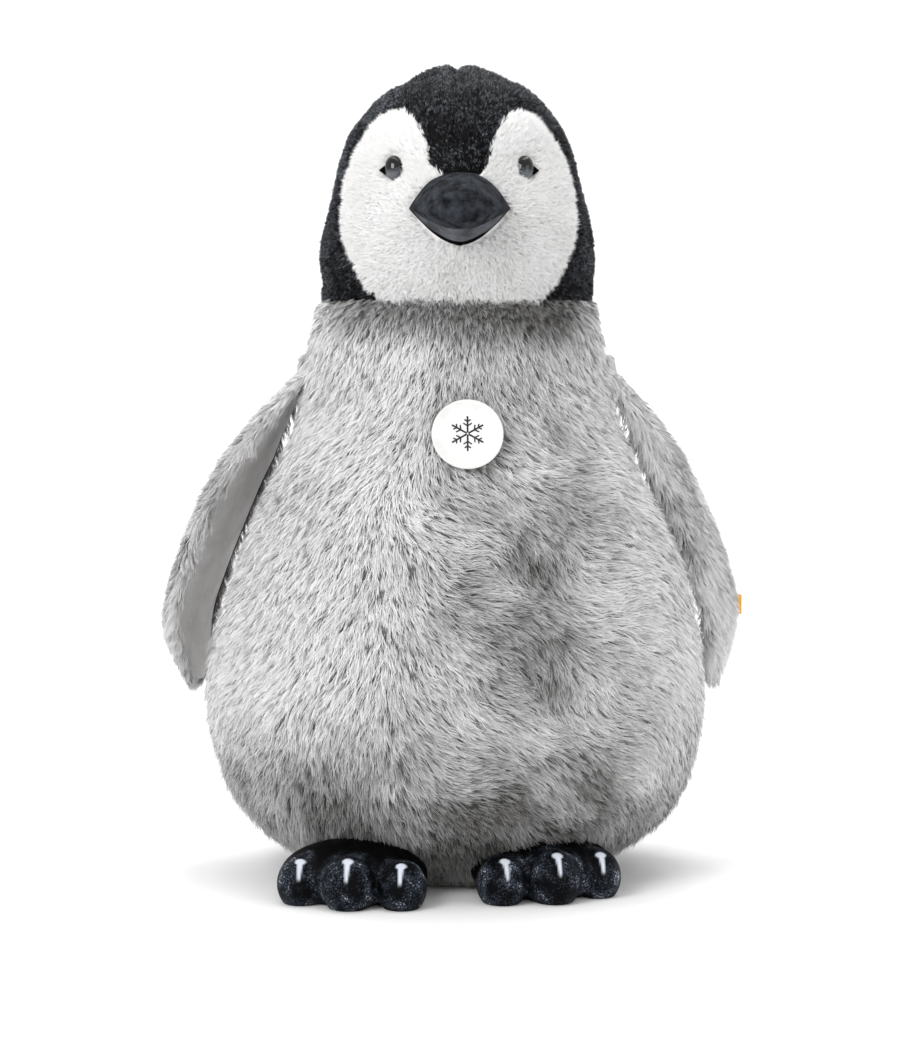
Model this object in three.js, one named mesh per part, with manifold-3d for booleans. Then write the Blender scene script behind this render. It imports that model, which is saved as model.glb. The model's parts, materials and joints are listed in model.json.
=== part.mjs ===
// A standing plush penguin chick, built as its sewn skins, fillings, eyes, beak, badge and label.
// Millimetres, +Z up, the face towards -Y, the penguin's own left towards +X, floor at z = 0.

import * as THREE from 'three';
import { mergeVertices } from 'three/addons/utils/BufferGeometryUtils.js';
import Module from 'manifold-3d';

// overall sizes
const HEIGHT = 700;
const BODY_WIDTH = 430;
const BELLY_REACH = 198;
const BACK_REACH = 182;
const HEAD_WIDTH = 238;
const HEAD_SHARE = 0.293;

// cloth and gaps
const BODY_SKIN = 5;
const HEAD_SKIN = 4;
const WING_SKIN = 3.5;
const FOOT_SKIN = 3.5;
const BEAK_SKIN = 2.5;
const BASE_SKIN = 3;
const GAP = 0.3;
const TIGHT = 0.12;

// neck: the head's round underside sits in a bowl in the top of the body
const PIVOT_ABOVE_NECK = 18;
const BOWL_CLEARANCE = 1.2;
const BOWL_WALL = 6.2;
const BOWL_DEPTH = 50;
const HEM_DEPTH = 12;
const ROLL_RADIUS = 55;
const ROLL_HEIGHT = 27;

// outline of the body from the floor (0) to the neck (1)
const BODY_FOOT_CURVE = [
  [0, 0.53], [0.042, 0.672], [0.08, 0.8], [0.127, 0.9], [0.19, 0.963], [0.26, 0.995], [0.31, 1],
];
const BODY_TOP_CURVE = [
  [0.31, 1], [0.4, 0.955], [0.49, 0.83], [0.6, 0.64], [0.71, 0.36], [0.8, 0.17], [0.9, 0.07], [1, 0],
];
const REACH_FOOT_CURVE = [[0, 0.53], [0.042, 0.68], [0.08, 0.8], [0.13, 0.9], [0.2, 0.97], [0.31, 1]];
const REACH_TOP_CURVE = [
  [0.31, 1], [0.44, 0.94], [0.57, 0.78], [0.68, 0.6], [0.77, 0.43], [0.88, 0.2], [1, 0],
];
const WIDEST = 0.31;
const SIDE_SEAM_Y = 24;

// outline of the head from the neck (0) to the crown (1), as a share of half its width
const HEAD_CURVE = [
  [-0.06, 0.92], [0, 0.965], [0.09, 0.99], [0.2, 1], [0.3, 0.977], [0.4, 0.937], [0.5, 0.893],
  [0.604, 0.848], [0.707, 0.774], [0.808, 0.639], [0.86, 0.548], [0.911, 0.414], [0.962, 0.268],
  [0.985, 0.17], [1, 0.06],
];

// edge of one white face patch: out from the middle, up from the neck, as shares of the head
const FACE_EDGE = [
  [0, 0.5], [0.162, 0.533], [0.205, 0.63], [0.25, 0.7], [0.313, 0.75], [0.396, 0.782], [0.534, 0.763],
  [0.632, 0.709], [0.715, 0.634], [0.775, 0.565], [0.822, 0.486], [0.842, 0.388], [0.838, 0.29], [0.8, 0.2],
  [0.7, 0.076], [0.615, 0.017], [0.5, -0.06], [0.46, -0.12],
];

// eyes
const EYE_RADIUS = 11;
const EYE_DOME = 7;
const EYE_SEAT = 2;
const EYE_STEM = 2.4;
const EYE_STEM_LENGTH = 15;
const EYE_OUT = 0.47;
const EYE_UP = 0.54;
const EYE_NARROW = 0.75;
const EYE_AIM = 36;
const EYE_RISE = 0.2;
const EYE_LEAN = 12;
const EYE_SINK = 1.5;
const FELT_OUT = 6.6;
const FELT_LENGTH = 5.2;
const FELT_HALF = 4.2;
const FELT_DROP = 2;
const WASHER_RADIUS = 9;
const WASHER_THICK = 2;

// beak
const BEAK_WIDTH = 86;
const BEAK_REACH = 52;
const BEAK_UP = 0.37;
const BEAK_TOP = 31;
const BEAK_MIDDLE = 22;
const BEAK_LIP = 31;
const BEAK_LIP_BACK = 15;
const BEAK_BOTTOM = 35;
const BEAK_LOWER_BACK = 28;
const BEAK_DROOP = 7;

// badge on the chest
const BADGE_RADIUS = 29.5;
const BADGE_THICK = 3.2;
const BADGE_UP = 0.774;
const BADGE_SIDE = 5;
const BADGE_STEM = 2;
const BADGE_STEM_LENGTH = 16;
const BADGE_STAND_OFF = 2.5;

// wings: the root is a roll sewn into a pocket at the shoulder
const SHOULDER_UP = 0.877;
const SHOULDER_SINK = 9;
const ROOT_RADIUS = 14;
const POCKET_CLEARANCE = 2.4;
const WING_LENGTH = 277;
const WING_OUT_CURVE = [
  [0, 5], [0.04, 14.5], [0.1, 26], [0.2, 44], [0.34, 66], [0.5, 86], [0.65, 102], [0.8, 112], [1, 106],
];
const WING_BACK_CURVE = [[-1, 18], [0, 18], [0.5, 52], [1, 70]];
const WING_CHORD_CURVE = [[-1, 36], [0, 36], [0.3, 50], [0.6, 54], [0.82, 45], [0.94, 29], [1, 12]];
const WING_THICK_CURVE = [
  [0, 6], [0.04, 6.5], [0.1, 9], [0.2, 11.5], [0.35, 12], [0.6, 11], [0.85, 8.5], [1, 4],
];
const WING_TWIST = { left: 17, right: -15 };
const WING_STAND_OFF = 1.5;

// feet
const TOES = [
  { out: 41, forward: 178, half: 21.5, length: 27, high: 24, up: 16 },
  { out: 84, forward: 180, half: 24, length: 30, high: 26, up: 18 },
  { out: 125, forward: 162, half: 21, length: 26, high: 24, up: 16 },
];
const INSTEP = { out: 84, forward: 140, half: 62, length: 52, high: 30, up: 20 };
const FOOT_STEP = { left: -12, right: 10 };
const FOOT_SIDE = { left: -15, right: -5 };
const FOOT_TURN = { left: 9, right: 5 };
const SOLE_THICK = 3;

// weight in the bottom, and the woven label on the wing seam
const PELLET_RADIUS = 84;
const PELLET_HEIGHT = 52;
const LABEL_LENGTH = 20;
const LABEL_HEIGHT = 18;
const LABEL_THICK = 1.2;
const LABEL_AT = 0.76;
const LABEL_STAND_OFF = 0.6;
const LABEL_SWEEP = 62;

// mesh fineness
const ROUND = 28;
const FINE = 16;
const WING_ROUND = 14;
const BODY_LEVELS = [0, 0.04, 0.085, 0.135, 0.2, 0.31, 0.42, 0.54, 0.66, 0.8, 1];
const HEAD_LEVELS = [-0.06, 0.1, 0.28, 0.46, 0.62, 0.75, 0.85, 0.92, 0.97, 1];
const WING_LEVELS = [0, 0.04, 0.1, 0.2, 0.35, 0.55, 0.75, 0.9, 1];
const SEAM_LEVELS = [0, 0.1, 0.2, 0.35, 0.55, 0.75, 0.9, 1];

// sizes that follow from the ones above
const NECK = HEIGHT * (1 - HEAD_SHARE);
const HEAD_HEIGHT = HEIGHT - NECK;
const HEAD_HALF = HEAD_WIDTH / 2;
const PIVOT = new THREE.Vector3(0, 0, NECK + PIVOT_ABOVE_NECK);
const BOWL_RADIUS = HEAD_HALF + BOWL_CLEARANCE;
const RIM_RADIUS = Math.sqrt(BOWL_RADIUS ** 2 - PIVOT_ABOVE_NECK ** 2) + BOWL_WALL;
const WIDE_HEIGHT = HEIGHT * 1.2;
const REACH_FAR = BODY_WIDTH * 2;

const wasm = await Module();
wasm.setup();

// ---------------------------------------------------------------- helpers

// the value of a smooth curve through [place, value] pairs
function through(curve, at) {
  const last = curve.length - 1;
  let i = 0;
  while (i < last - 1 && at > curve[i + 1][0]) {
    i += 1;
  }
  const slope = (a, b) => (curve[b][1] - curve[a][1]) / (curve[b][0] - curve[a][0]);
  const run = curve[i + 1][0] - curve[i][0];
  const u = Math.min(Math.max((at - curve[i][0]) / run, 0), 1);
  const before = slope(Math.max(i - 1, 0), Math.min(i + 1, last)) * run;
  const after = slope(i, Math.min(i + 2, last)) * run;
  const rise = curve[i + 1][1] - curve[i][1];
  const a = before + after - 2 * rise;
  const b = 3 * rise - 2 * before - after;
  return curve[i][1] + u * (before + u * (b + u * a));
}

// a closed skin over a stack of rings, each with the same number of points
function loft(rings) {
  const count = rings[0].length;
  const middles = [rings[0], rings[rings.length - 1]].map((ring) => {
    const sum = new THREE.Vector3();
    ring.forEach((point) => sum.add(point));
    return sum.divideScalar(count);
  });
  const points = [...rings.flat(), ...middles];
  const faces = [];
  for (let level = 0; level < rings.length - 1; level += 1) {
    for (let i = 0; i < count; i += 1) {
      const next = (i + 1) % count;
      const low = level * count;
      const high = low + count;
      faces.push(low + i, low + next, high + next, low + i, high + next, high + i);
    }
  }
  const top = (rings.length - 1) * count;
  const under = points.length - 2;
  const over = points.length - 1;
  for (let i = 0; i < count; i += 1) {
    const next = (i + 1) % count;
    faces.push(under, next, i, over, top + i, top + next);
  }
  const geometry = new THREE.BufferGeometry();
  geometry.setFromPoints(points);
  geometry.setIndex(faces);
  return geometry;
}

// six times the signed volume, to tell which way the faces look
function windingOf(positions, faces) {
  const corner = (i) => new THREE.Vector3().fromArray(positions, 3 * i);
  let sum = 0;
  for (let i = 0; i < faces.length; i += 3) {
    const a = corner(faces[i]);
    const b = corner(faces[i + 1]);
    const c = corner(faces[i + 2]);
    sum += a.dot(b.cross(c));
  }
  return sum;
}

// a solid that can be added to and cut, from any closed geometry
function solid(geometry) {
  let plain = geometry.clone();
  plain.deleteAttribute('normal');
  plain.deleteAttribute('uv');
  plain = mergeVertices(plain, 1e-4);
  const positions = new Float32Array(plain.attributes.position.array);
  const faces = Uint32Array.from(plain.index.array);
  if (windingOf(positions, faces) < 0) {
    faces.reverse();
  }
  return new wasm.Manifold(new wasm.Mesh({ numProp: 3, vertProperties: positions, triVerts: faces }));
}

function box(low, high) {
  const geometry = new THREE.BoxGeometry(high[0] - low[0], high[1] - low[1], high[2] - low[2]);
  geometry.translate((low[0] + high[0]) / 2, (low[1] + high[1]) / 2, (low[2] + high[2]) / 2);
  return solid(geometry);
}

function ball(radius, centre) {
  const geometry = new THREE.SphereGeometry(radius, ROUND, ROUND / 2);
  geometry.rotateX(Math.PI / 2);
  geometry.translate(centre.x, centre.y, centre.z);
  return solid(geometry);
}

// a turned shape from [radius, along] pairs, standing at a place and pointing along a direction
function turned(profile, place, direction) {
  const geometry = new THREE.LatheGeometry(profile.map(([r, h]) => new THREE.Vector2(r, h)), FINE);
  const turn = new THREE.Quaternion().setFromUnitVectors(new THREE.Vector3(0, 1, 0), direction);
  geometry.applyQuaternion(turn);
  geometry.translate(place.x, place.y, place.z);
  return solid(geometry);
}

// a turned shape squeezed to an oval, its long axis leaning about the direction it points in
function oval(profile, place, direction, narrow, lean) {
  const geometry = new THREE.LatheGeometry(profile.map(([r, h]) => new THREE.Vector2(r, h)), FINE);
  geometry.scale(narrow, 1, 1);
  geometry.rotateY(lean);
  const across = new THREE.Vector3(0, 0, 1).cross(direction).normalize();
  const along = across.clone().cross(direction);
  geometry.applyMatrix4(new THREE.Matrix4().makeBasis(across, direction, along));
  geometry.translate(place.x, place.y, place.z);
  return solid(geometry);
}

function rod(radius, low, high, place, direction) {
  return turned([[0, low], [radius, low], [radius, high], [0, high]], place, direction);
}

const group = new THREE.Group();
group.name = 'plush_penguin';

function piece(name, shape, colour, roughness = 0.9) {
  const made = shape.getMesh();
  const geometry = new THREE.BufferGeometry();
  geometry.setAttribute('position', new THREE.BufferAttribute(new Float32Array(made.vertProperties), 3));
  geometry.setIndex(new THREE.BufferAttribute(new Uint32Array(made.triVerts), 1));
  geometry.computeVertexNormals();
  const mesh = new THREE.Mesh(geometry, new THREE.MeshStandardMaterial({ color: colour, roughness }));
  mesh.name = name;
  group.add(mesh);
}

// ---------------------------------------------------------------- body

function bodyHalfWidth(share) {
  const half = BODY_WIDTH / 2;
  if (share < WIDEST) {
    return half * through(BODY_FOOT_CURVE, share);
  }
  return RIM_RADIUS + (half - RIM_RADIUS) * through(BODY_TOP_CURVE, share);
}

function bodyReach(share, full) {
  if (share < WIDEST) {
    return full * through(REACH_FOOT_CURVE, share);
  }
  return RIM_RADIUS + (full - RIM_RADIUS) * through(REACH_TOP_CURVE, share);
}

// the body's outline at a height, grown or shrunk all round
function bodyRing(share, grow) {
  const ring = [];
  for (let i = 0; i < ROUND; i += 1) {
    const angle = (2 * Math.PI * i) / ROUND;
    const reach = bodyReach(share, Math.sin(angle) < 0 ? BELLY_REACH : BACK_REACH) + grow;
    const side = bodyHalfWidth(share) + grow;
    ring.push(new THREE.Vector3(side * Math.cos(angle), reach * Math.sin(angle), share * NECK));
  }
  return ring;
}

function bodyForm(grow) {
  return solid(loft(BODY_LEVELS.map((share) => bodyRing(share, grow))));
}

// the height of the chest's surface and the way it faces
function chestAt(share, x) {
  const reach = (s) => bodyReach(s, BELLY_REACH) * Math.sqrt(1 - (x / bodyHalfWidth(s)) ** 2);
  const step = 0.02;
  const slope = (reach(share - step) - reach(share + step)) / (2 * step * NECK);
  const direction = new THREE.Vector3(0, -1, slope).normalize();
  return { place: new THREE.Vector3(x, -reach(share), share * NECK), direction };
}

// ---------------------------------------------------------------- head

function headRing(share, grow) {
  const ring = [];
  const half = HEAD_HALF * through(HEAD_CURVE, share) + grow;
  for (let i = 0; i < ROUND; i += 1) {
    const angle = (2 * Math.PI * i) / ROUND;
    ring.push(new THREE.Vector3(half * Math.cos(angle), half * Math.sin(angle), NECK + share * HEAD_HEIGHT));
  }
  return ring;
}

function headForm(grow) {
  const crown = new THREE.Vector3(0, 0, grow);
  const rings = HEAD_LEVELS.map((share) => headRing(share, Math.max(grow, -HEAD_HALF * 0.03)));
  if (grow < 0) {
    const shrink = 1 + grow / HEAD_HALF;
    const inner = HEAD_LEVELS.map((share) => headRing(share, 0));
    inner.flat().forEach((point) => point.sub(PIVOT).multiplyScalar(shrink).add(PIVOT));
    return solid(loft(inner));
  }
  rings[rings.length - 1].forEach((point) => point.add(crown));
  return solid(loft(rings));
}

// a point on the head and the level direction that leads out of it there
function headAt(share, x) {
  const half = HEAD_HALF * through(HEAD_CURVE, share);
  return new THREE.Vector3(x, -Math.sqrt(half ** 2 - x ** 2), NECK + share * HEAD_HEIGHT);
}

// the white patch on one side (1 or -1), as a block through the front of the head
function faceBlock(side, inset) {
  const edge = FACE_EDGE.map(([out, up]) => new THREE.Vector2(out * HEAD_HALF, NECK + up * HEAD_HEIGHT));
  const smooth = new THREE.SplineCurve(edge).getPoints(20);
  const outline = smooth.map((point, i) => {
    const before = smooth[Math.max(i - 1, 0)];
    const after = smooth[Math.min(i + 1, smooth.length - 1)];
    const along = after.clone().sub(before).normalize();
    return new THREE.Vector2(point.x + along.y * inset, point.y - along.x * inset);
  });
  outline[0].x = inset;
  outline.push(new THREE.Vector2(inset, outline[outline.length - 1].y));
  const shape = new THREE.Shape(outline.map((point) => new THREE.Vector2(side * point.x, point.y)));
  const geometry = new THREE.ExtrudeGeometry(shape, { depth: HEAD_WIDTH, bevelEnabled: false });
  geometry.rotateX(Math.PI / 2);
  geometry.translate(0, -10, 0);
  return solid(geometry);
}

// ---------------------------------------------------------------- beak

// one pointed cross-section, high above the mouth line and low below it
function beakRing(share, wide, high, low, reach) {
  const fall = Math.sqrt(Math.max(1 - share ** 2, 0.0004));
  const root = headAt(BEAK_UP, 0);
  const count = 20;
  const ring = [];
  for (let i = 0; i < count; i += 1) {
    const angle = (2 * Math.PI * i) / count;
    const across = Math.cos(angle);
    const above = Math.sin(angle) > 0;
    const rise = 1 - Math.abs(across) ** (above ? 2.5 : 1.9);
    const lift = (above ? high : -low) * rise * fall;
    const along = root.y + 22 - share * (reach + 22);
    const droop = BEAK_DROOP * share ** 2;
    ring.push(new THREE.Vector3(wide * across * fall, along, root.z + lift - droop));
  }
  return ring;
}

function beakForm(low, reach, grow) {
  const shares = [0, 0.35, 0.55, 0.72, 0.86, 0.95, 1];
  const wide = BEAK_WIDTH / 2 + grow;
  return solid(loft(shares.map((share) => beakRing(share, wide, BEAK_TOP + grow, low + grow, reach + grow))));
}

// ---------------------------------------------------------------- wings

// a cross-section of the wing; thin and narrow shrink it, side is 1 for the penguin's left
function wingRing(side, share, shrink) {
  const shoulder = bodyHalfWidth(SHOULDER_UP) - SHOULDER_SINK;
  const out = shoulder + through(WING_OUT_CURVE, share);
  const back = through(WING_BACK_CURVE, share);
  const chord = through(WING_CHORD_CURVE, share) - shrink;
  const thick = through(WING_THICK_CURVE, share) - Math.min(shrink, 0.75 * through(WING_THICK_CURVE, share));
  const twistFull = THREE.MathUtils.degToRad(side > 0 ? WING_TWIST.left : WING_TWIST.right);
  const twist = twistFull * Math.min(share * 2, 1);
  const ring = [];
  for (let i = 0; i < WING_ROUND; i += 1) {
    const angle = (2 * Math.PI * i) / WING_ROUND;
    const v = thick * Math.sign(Math.cos(angle)) * Math.abs(Math.cos(angle)) ** 0.7;
    const u = chord * Math.sin(angle);
    const x = out + v * Math.cos(twist) + u * Math.sin(twist);
    const y = back + u * Math.cos(twist) - v * Math.sin(twist);
    ring.push(new THREE.Vector3(side * x, y, SHOULDER_UP * NECK - share * WING_LENGTH));
  }
  return ring;
}

// the rounded root above the hinge line
function wingRoot(side, shrink) {
  const shoulder = bodyHalfWidth(SHOULDER_UP) - SHOULDER_SINK;
  const length = 2 * (through(WING_CHORD_CURVE, 0) - shrink) * 0.94;
  const middle = new THREE.Vector3(side * shoulder, through(WING_BACK_CURVE, 0), SHOULDER_UP * NECK);
  return rod(ROOT_RADIUS - shrink, -length / 2, length / 2, middle, new THREE.Vector3(0, 1, 0));
}

function wingForm(side, shrink) {
  const end = shrink > 0 ? 1 - shrink / WING_LENGTH : 1;
  const rings = WING_LEVELS.map((share) => wingRing(side, share * end, shrink));
  return solid(loft(rings)).add(wingRoot(side, shrink));
}

// everything on the body side of the wing's seam
function wingInside(side, shift) {
  const shoulder = bodyHalfWidth(SHOULDER_UP) - SHOULDER_SINK;
  const twistFull = THREE.MathUtils.degToRad(side > 0 ? WING_TWIST.left : WING_TWIST.right);
  const rings = SEAM_LEVELS.map((share) => {
    const twist = twistFull * Math.min(share * 2, 1);
    const seam = -0.3 * through(WING_THICK_CURVE, share) - shift;
    const corners = [[-90, -60], [-90, seam], [90, seam], [90, -60]];
    return corners.map(([u, v]) => {
      const x = shoulder + through(WING_OUT_CURVE, share) + v * Math.cos(twist) + u * Math.sin(twist);
      const y = through(WING_BACK_CURVE, share) + u * Math.cos(twist) - v * Math.sin(twist);
      return new THREE.Vector3(side * x, y, SHOULDER_UP * NECK - share * WING_LENGTH);
    });
  });
  rings[0].forEach((point) => point.setZ(SHOULDER_UP * NECK - ROOT_RADIUS));
  rings[rings.length - 1].forEach((point) => point.setZ(point.z - 20));
  return solid(loft(rings));
}

// ---------------------------------------------------------------- feet

function footForm(side, shrink) {
  const name = side > 0 ? 'left' : 'right';
  const shapes = [...TOES, INSTEP].map((lump) => {
    const geometry = new THREE.SphereGeometry(1, 12, 8);
    geometry.rotateX(Math.PI / 2);
    geometry.scale(lump.half - shrink, lump.length - shrink, lump.high - shrink);
    geometry.translate(side * lump.out, -lump.forward, lump.up);
    return solid(geometry);
  });
  const turn = side * FOOT_TURN[name];
  const pivot = [side * INSTEP.out, -INSTEP.forward, 0];
  const back = pivot.map((value) => -value);
  const step = [pivot[0] + FOOT_SIDE[name], pivot[1] - FOOT_STEP[name], 0];
  const joined = shapes.reduce((sum, shape) => sum.add(shape));
  return joined.translate(back).rotate([0, 0, turn]).translate(step);
}

// ---------------------------------------------------------------- put together

const bodyOuter = bodyForm(0);
const bodyInner = bodyForm(-BODY_SKIN);
const bodyCore = bodyForm(-BODY_SKIN - GAP);
const footAround = bodyForm(GAP * 3);
const bowlBall = ball(BOWL_RADIUS, PIVOT);
const bowlFloor = box([-REACH_FAR, -REACH_FAR, NECK - BOWL_DEPTH], [REACH_FAR, REACH_FAR, WIDE_HEIGHT]);
const bowl = bowlBall.intersect(bowlFloor);
const aboveBase = box([-REACH_FAR, -REACH_FAR, BASE_SKIN + GAP], [REACH_FAR, REACH_FAR, WIDE_HEIGHT]);
const sides = [1, -1];
const sideName = (side) => (side > 0 ? 'left' : 'right');

// shoulder pocket that a wing root sits in
function pocket(side, inset) {
  const shoulder = bodyHalfWidth(SHOULDER_UP) - SHOULDER_SINK;
  const length = 2 * through(WING_CHORD_CURVE, 0) + 4 - inset;
  const middle = new THREE.Vector3(side * shoulder, through(WING_BACK_CURVE, 0), SHOULDER_UP * NECK);
  const radius = ROOT_RADIUS + POCKET_CLEARANCE - inset;
  return rod(radius, -length / 2, length / 2, middle, new THREE.Vector3(0, 1, 0));
}

const pocketPair = pocket(1, 0).add(pocket(-1, 0));

// badge, its stem and the hollow for its washer
const chest = chestAt(BADGE_UP, BADGE_SIDE);
const badgePlace = chest.place.clone().addScaledVector(chest.direction, BADGE_STAND_OFF);
const badgeHole = rod(BADGE_STEM + GAP, -BADGE_STEM_LENGTH - 2, 6, badgePlace, chest.direction);
const washerLow = -BADGE_STEM_LENGTH + 1;
const badgePocket = rod(
  WASHER_RADIUS + 1, washerLow - 3, washerLow + WASHER_THICK + 1, badgePlace, chest.direction,
);

const bodyShell = bodyOuter.subtract(bodyInner).intersect(aboveBase).subtract(bowl)
  .subtract(pocketPair).subtract(badgeHole);
const seam = SIDE_SEAM_Y;
const front = box([-REACH_FAR, -REACH_FAR, -10], [REACH_FAR, seam, WIDE_HEIGHT]);
const backLeft = box([GAP / 2, seam + GAP, -10], [REACH_FAR, REACH_FAR, WIDE_HEIGHT]);
const backRight = box([-REACH_FAR, seam + GAP, -10], [-GAP / 2, REACH_FAR, WIDE_HEIGHT]);
const base = bodyOuter.intersect(box([-REACH_FAR, -REACH_FAR, -1], [REACH_FAR, REACH_FAR, BASE_SKIN]));
piece('body_front_panel', bodyShell.intersect(front), '#b3b0ac', 1);
piece('body_back_left_panel', bodyShell.intersect(backLeft), '#aba8a4', 1);
piece('body_back_right_panel', bodyShell.intersect(backRight), '#aba8a4', 1);
piece('body_base_panel', base, '#8c8986', 1);

// the filling, hollowed from below for the bag of pellets
const up = new THREE.Vector3(0, 0, 1);
const floorMiddle = new THREE.Vector3(0, 0, BASE_SKIN + GAP);
const bagProfile = (grow) => [
  [0, -grow], [PELLET_RADIUS * 0.8 + grow, -grow], [PELLET_RADIUS + grow, PELLET_HEIGHT * 0.3],
  [PELLET_RADIUS * 0.9 + grow, PELLET_HEIGHT * 0.75], [PELLET_RADIUS * 0.5, PELLET_HEIGHT + grow],
  [0, PELLET_HEIGHT + grow],
];
const belowNeck = box([-REACH_FAR, -REACH_FAR, BASE_SKIN + 2 * GAP], [REACH_FAR, REACH_FAR, NECK - 9]);
const bodyStuffing = bodyCore.intersect(belowNeck).subtract(bowl).subtract(pocketPair)
  .subtract(badgeHole).subtract(badgePocket).subtract(turned(bagProfile(1), floorMiddle, up));
piece('body_stuffing', bodyStuffing, '#f2f0ea', 1);
piece('pellet_bag', turned(bagProfile(0), floorMiddle, up), '#d9d2c0', 1);

// a soft roll in the bowl, which the head rests and turns on
const rollFoot = new THREE.Vector3(0, 0, NECK - BOWL_DEPTH + GAP);
const rollProfile = [
  [0, 0], [ROLL_RADIUS * 0.85, 0], [ROLL_RADIUS, ROLL_HEIGHT * 0.3], [ROLL_RADIUS, ROLL_HEIGHT * 0.7],
  [ROLL_RADIUS * 0.85, ROLL_HEIGHT], [0, ROLL_HEIGHT],
];
piece('neck_roll', turned(rollProfile, rollFoot, up), '#ece9e2', 1);

// eyes: a glossy dome on a stem, locked from behind by a washer
const eyes = sides.map((side) => {
  const aim = THREE.MathUtils.degToRad(EYE_AIM);
  const direction = new THREE.Vector3(side * Math.sin(aim), -Math.cos(aim), EYE_RISE).normalize();
  const place = headAt(EYE_UP, side * EYE_OUT * HEAD_HALF).addScaledVector(direction, -EYE_SINK);
  const dome = [
    [0, -EYE_STEM_LENGTH], [EYE_STEM, -EYE_STEM_LENGTH], [EYE_STEM, -EYE_SEAT],
    [EYE_RADIUS * 0.95, -EYE_SEAT], [EYE_RADIUS, 0], [EYE_RADIUS * 0.93, EYE_DOME * 0.42],
    [EYE_RADIUS * 0.72, EYE_DOME * 0.74], [EYE_RADIUS * 0.4, EYE_DOME * 0.94], [0, EYE_DOME],
  ];
  const low = -EYE_STEM_LENGTH + 1;
  const washer = [
    [EYE_STEM + 0.25, low], [WASHER_RADIUS, low], [WASHER_RADIUS, low + WASHER_THICK],
    [EYE_STEM + 0.25, low + WASHER_THICK], [EYE_STEM + 0.25, low],
  ];
  const hollow = rod(WASHER_RADIUS + 0.8, low - 3, low + WASHER_THICK + 0.8, place, direction);
  const lean = side * THREE.MathUtils.degToRad(EYE_LEAN);
  const around = EYE_RADIUS + 0.6;
  const aroundNarrow = (EYE_RADIUS * EYE_NARROW + 0.6) / around;
  const socketProfile = [
    [0, -EYE_SEAT - 0.6], [around, -EYE_SEAT - 0.6], [around, EYE_RADIUS * 2], [0, EYE_RADIUS * 2],
  ];
  const socket = oval(socketProfile, place, direction, aroundNarrow, lean);
  const shaft = rod(EYE_STEM + 0.4, -EYE_STEM_LENGTH - 2, 0, place, direction);
  piece(`eye_${sideName(side)}`, oval(dome, place, direction, EYE_NARROW, lean), '#0c0c0e', 0.08);
  piece(`eye_washer_${sideName(side)}`, turned(washer, place, direction), '#e8e8e8', 0.5);
  return { side, place, direction, hollow, socket, shaft };
});

// head: two hood halves, two white face patches and the filling
const headOuter = headForm(0);
const headInner = headForm(-HEAD_SKIN);
const headCore = headForm(-HEAD_SKIN - GAP);
const headClear = headForm(GAP);
const aboveHem = box([-REACH_FAR, -REACH_FAR, NECK - HEM_DEPTH], [REACH_FAR, REACH_FAR, WIDE_HEIGHT]);
const bowlFill = ball(HEAD_HALF, PIVOT).add(
  box([-REACH_FAR, -REACH_FAR, PIVOT.z], [REACH_FAR, REACH_FAR, WIDE_HEIGHT]),
);
let headShell = headOuter.subtract(headInner).intersect(aboveHem).intersect(bowlFill);
let headStuffing = headCore.intersect(aboveHem.translate([0, 0, 2])).intersect(bowlFill);
eyes.forEach((eye) => {
  headShell = headShell.subtract(eye.socket).subtract(eye.shaft);
  headStuffing = headStuffing.subtract(eye.socket).subtract(eye.shaft).subtract(eye.hollow);
});
sides.forEach((side) => {
  const half = side > 0
    ? box([GAP / 2, -REACH_FAR, 0], [REACH_FAR, REACH_FAR, WIDE_HEIGHT])
    : box([-REACH_FAR, -REACH_FAR, 0], [-GAP / 2, REACH_FAR, WIDE_HEIGHT]);
  const hood = headShell.intersect(half).subtract(faceBlock(side, -TIGHT));
  piece(`hood_${sideName(side)}`, hood, '#1d1e21', 1);
  piece(`face_${sideName(side)}`, headShell.intersect(faceBlock(side, TIGHT + 0.05)), '#f3f2ef', 1);
});
piece('head_stuffing', headStuffing, '#f2f0ea', 1);

// black felt triangle at the outer corner of each eye
const feltLayer = headForm(GAP + 1.2).subtract(headForm(GAP));
eyes.forEach((eye) => {
  const middle = headAt(EYE_UP, eye.side * EYE_OUT * HEAD_HALF);
  const x = eye.side * FELT_OUT;
  const tip = x + eye.side * FELT_LENGTH;
  const corners = [[x, FELT_HALF - FELT_DROP], [tip, -FELT_DROP], [x, -FELT_HALF - FELT_DROP]];
  const shape = new THREE.Shape(corners.map(([a, b]) => new THREE.Vector2(middle.x + a, middle.z + b)));
  const geometry = new THREE.ExtrudeGeometry(shape, { depth: HEAD_WIDTH, bevelEnabled: false });
  geometry.rotateX(Math.PI / 2);
  geometry.translate(0, -10, 0);
  const felt = feltLayer.intersect(solid(geometry)).subtract(eye.socket);
  piece(`eye_corner_${sideName(eye.side)}`, felt, '#141414', 1);
});

// beak: a stuffed upper shell, its lip, and the crescent of the lower beak
const upperRaw = beakForm(BEAK_MIDDLE, BEAK_REACH, 0);
const upperInner = beakForm(BEAK_MIDDLE, BEAK_REACH, -BEAK_SKIN);
const upperCore = beakForm(BEAK_MIDDLE, BEAK_REACH, -BEAK_SKIN - GAP);
const lipRaw = beakForm(BEAK_LIP, BEAK_REACH - BEAK_LIP_BACK, 0);
const lowerRaw = beakForm(BEAK_BOTTOM, BEAK_REACH - BEAK_LOWER_BACK, 0);
const upperAround = beakForm(BEAK_MIDDLE, BEAK_REACH, GAP);
const lipAround = beakForm(BEAK_LIP, BEAK_REACH - BEAK_LIP_BACK, GAP);
const mouth = headAt(BEAK_UP, 0).z - 1;
const underMouth = box([-REACH_FAR, -REACH_FAR, 0], [REACH_FAR, 0, mouth]);
piece('beak_upper', upperRaw.subtract(upperInner).subtract(headClear), '#2b2c2f', 0.85);
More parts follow.
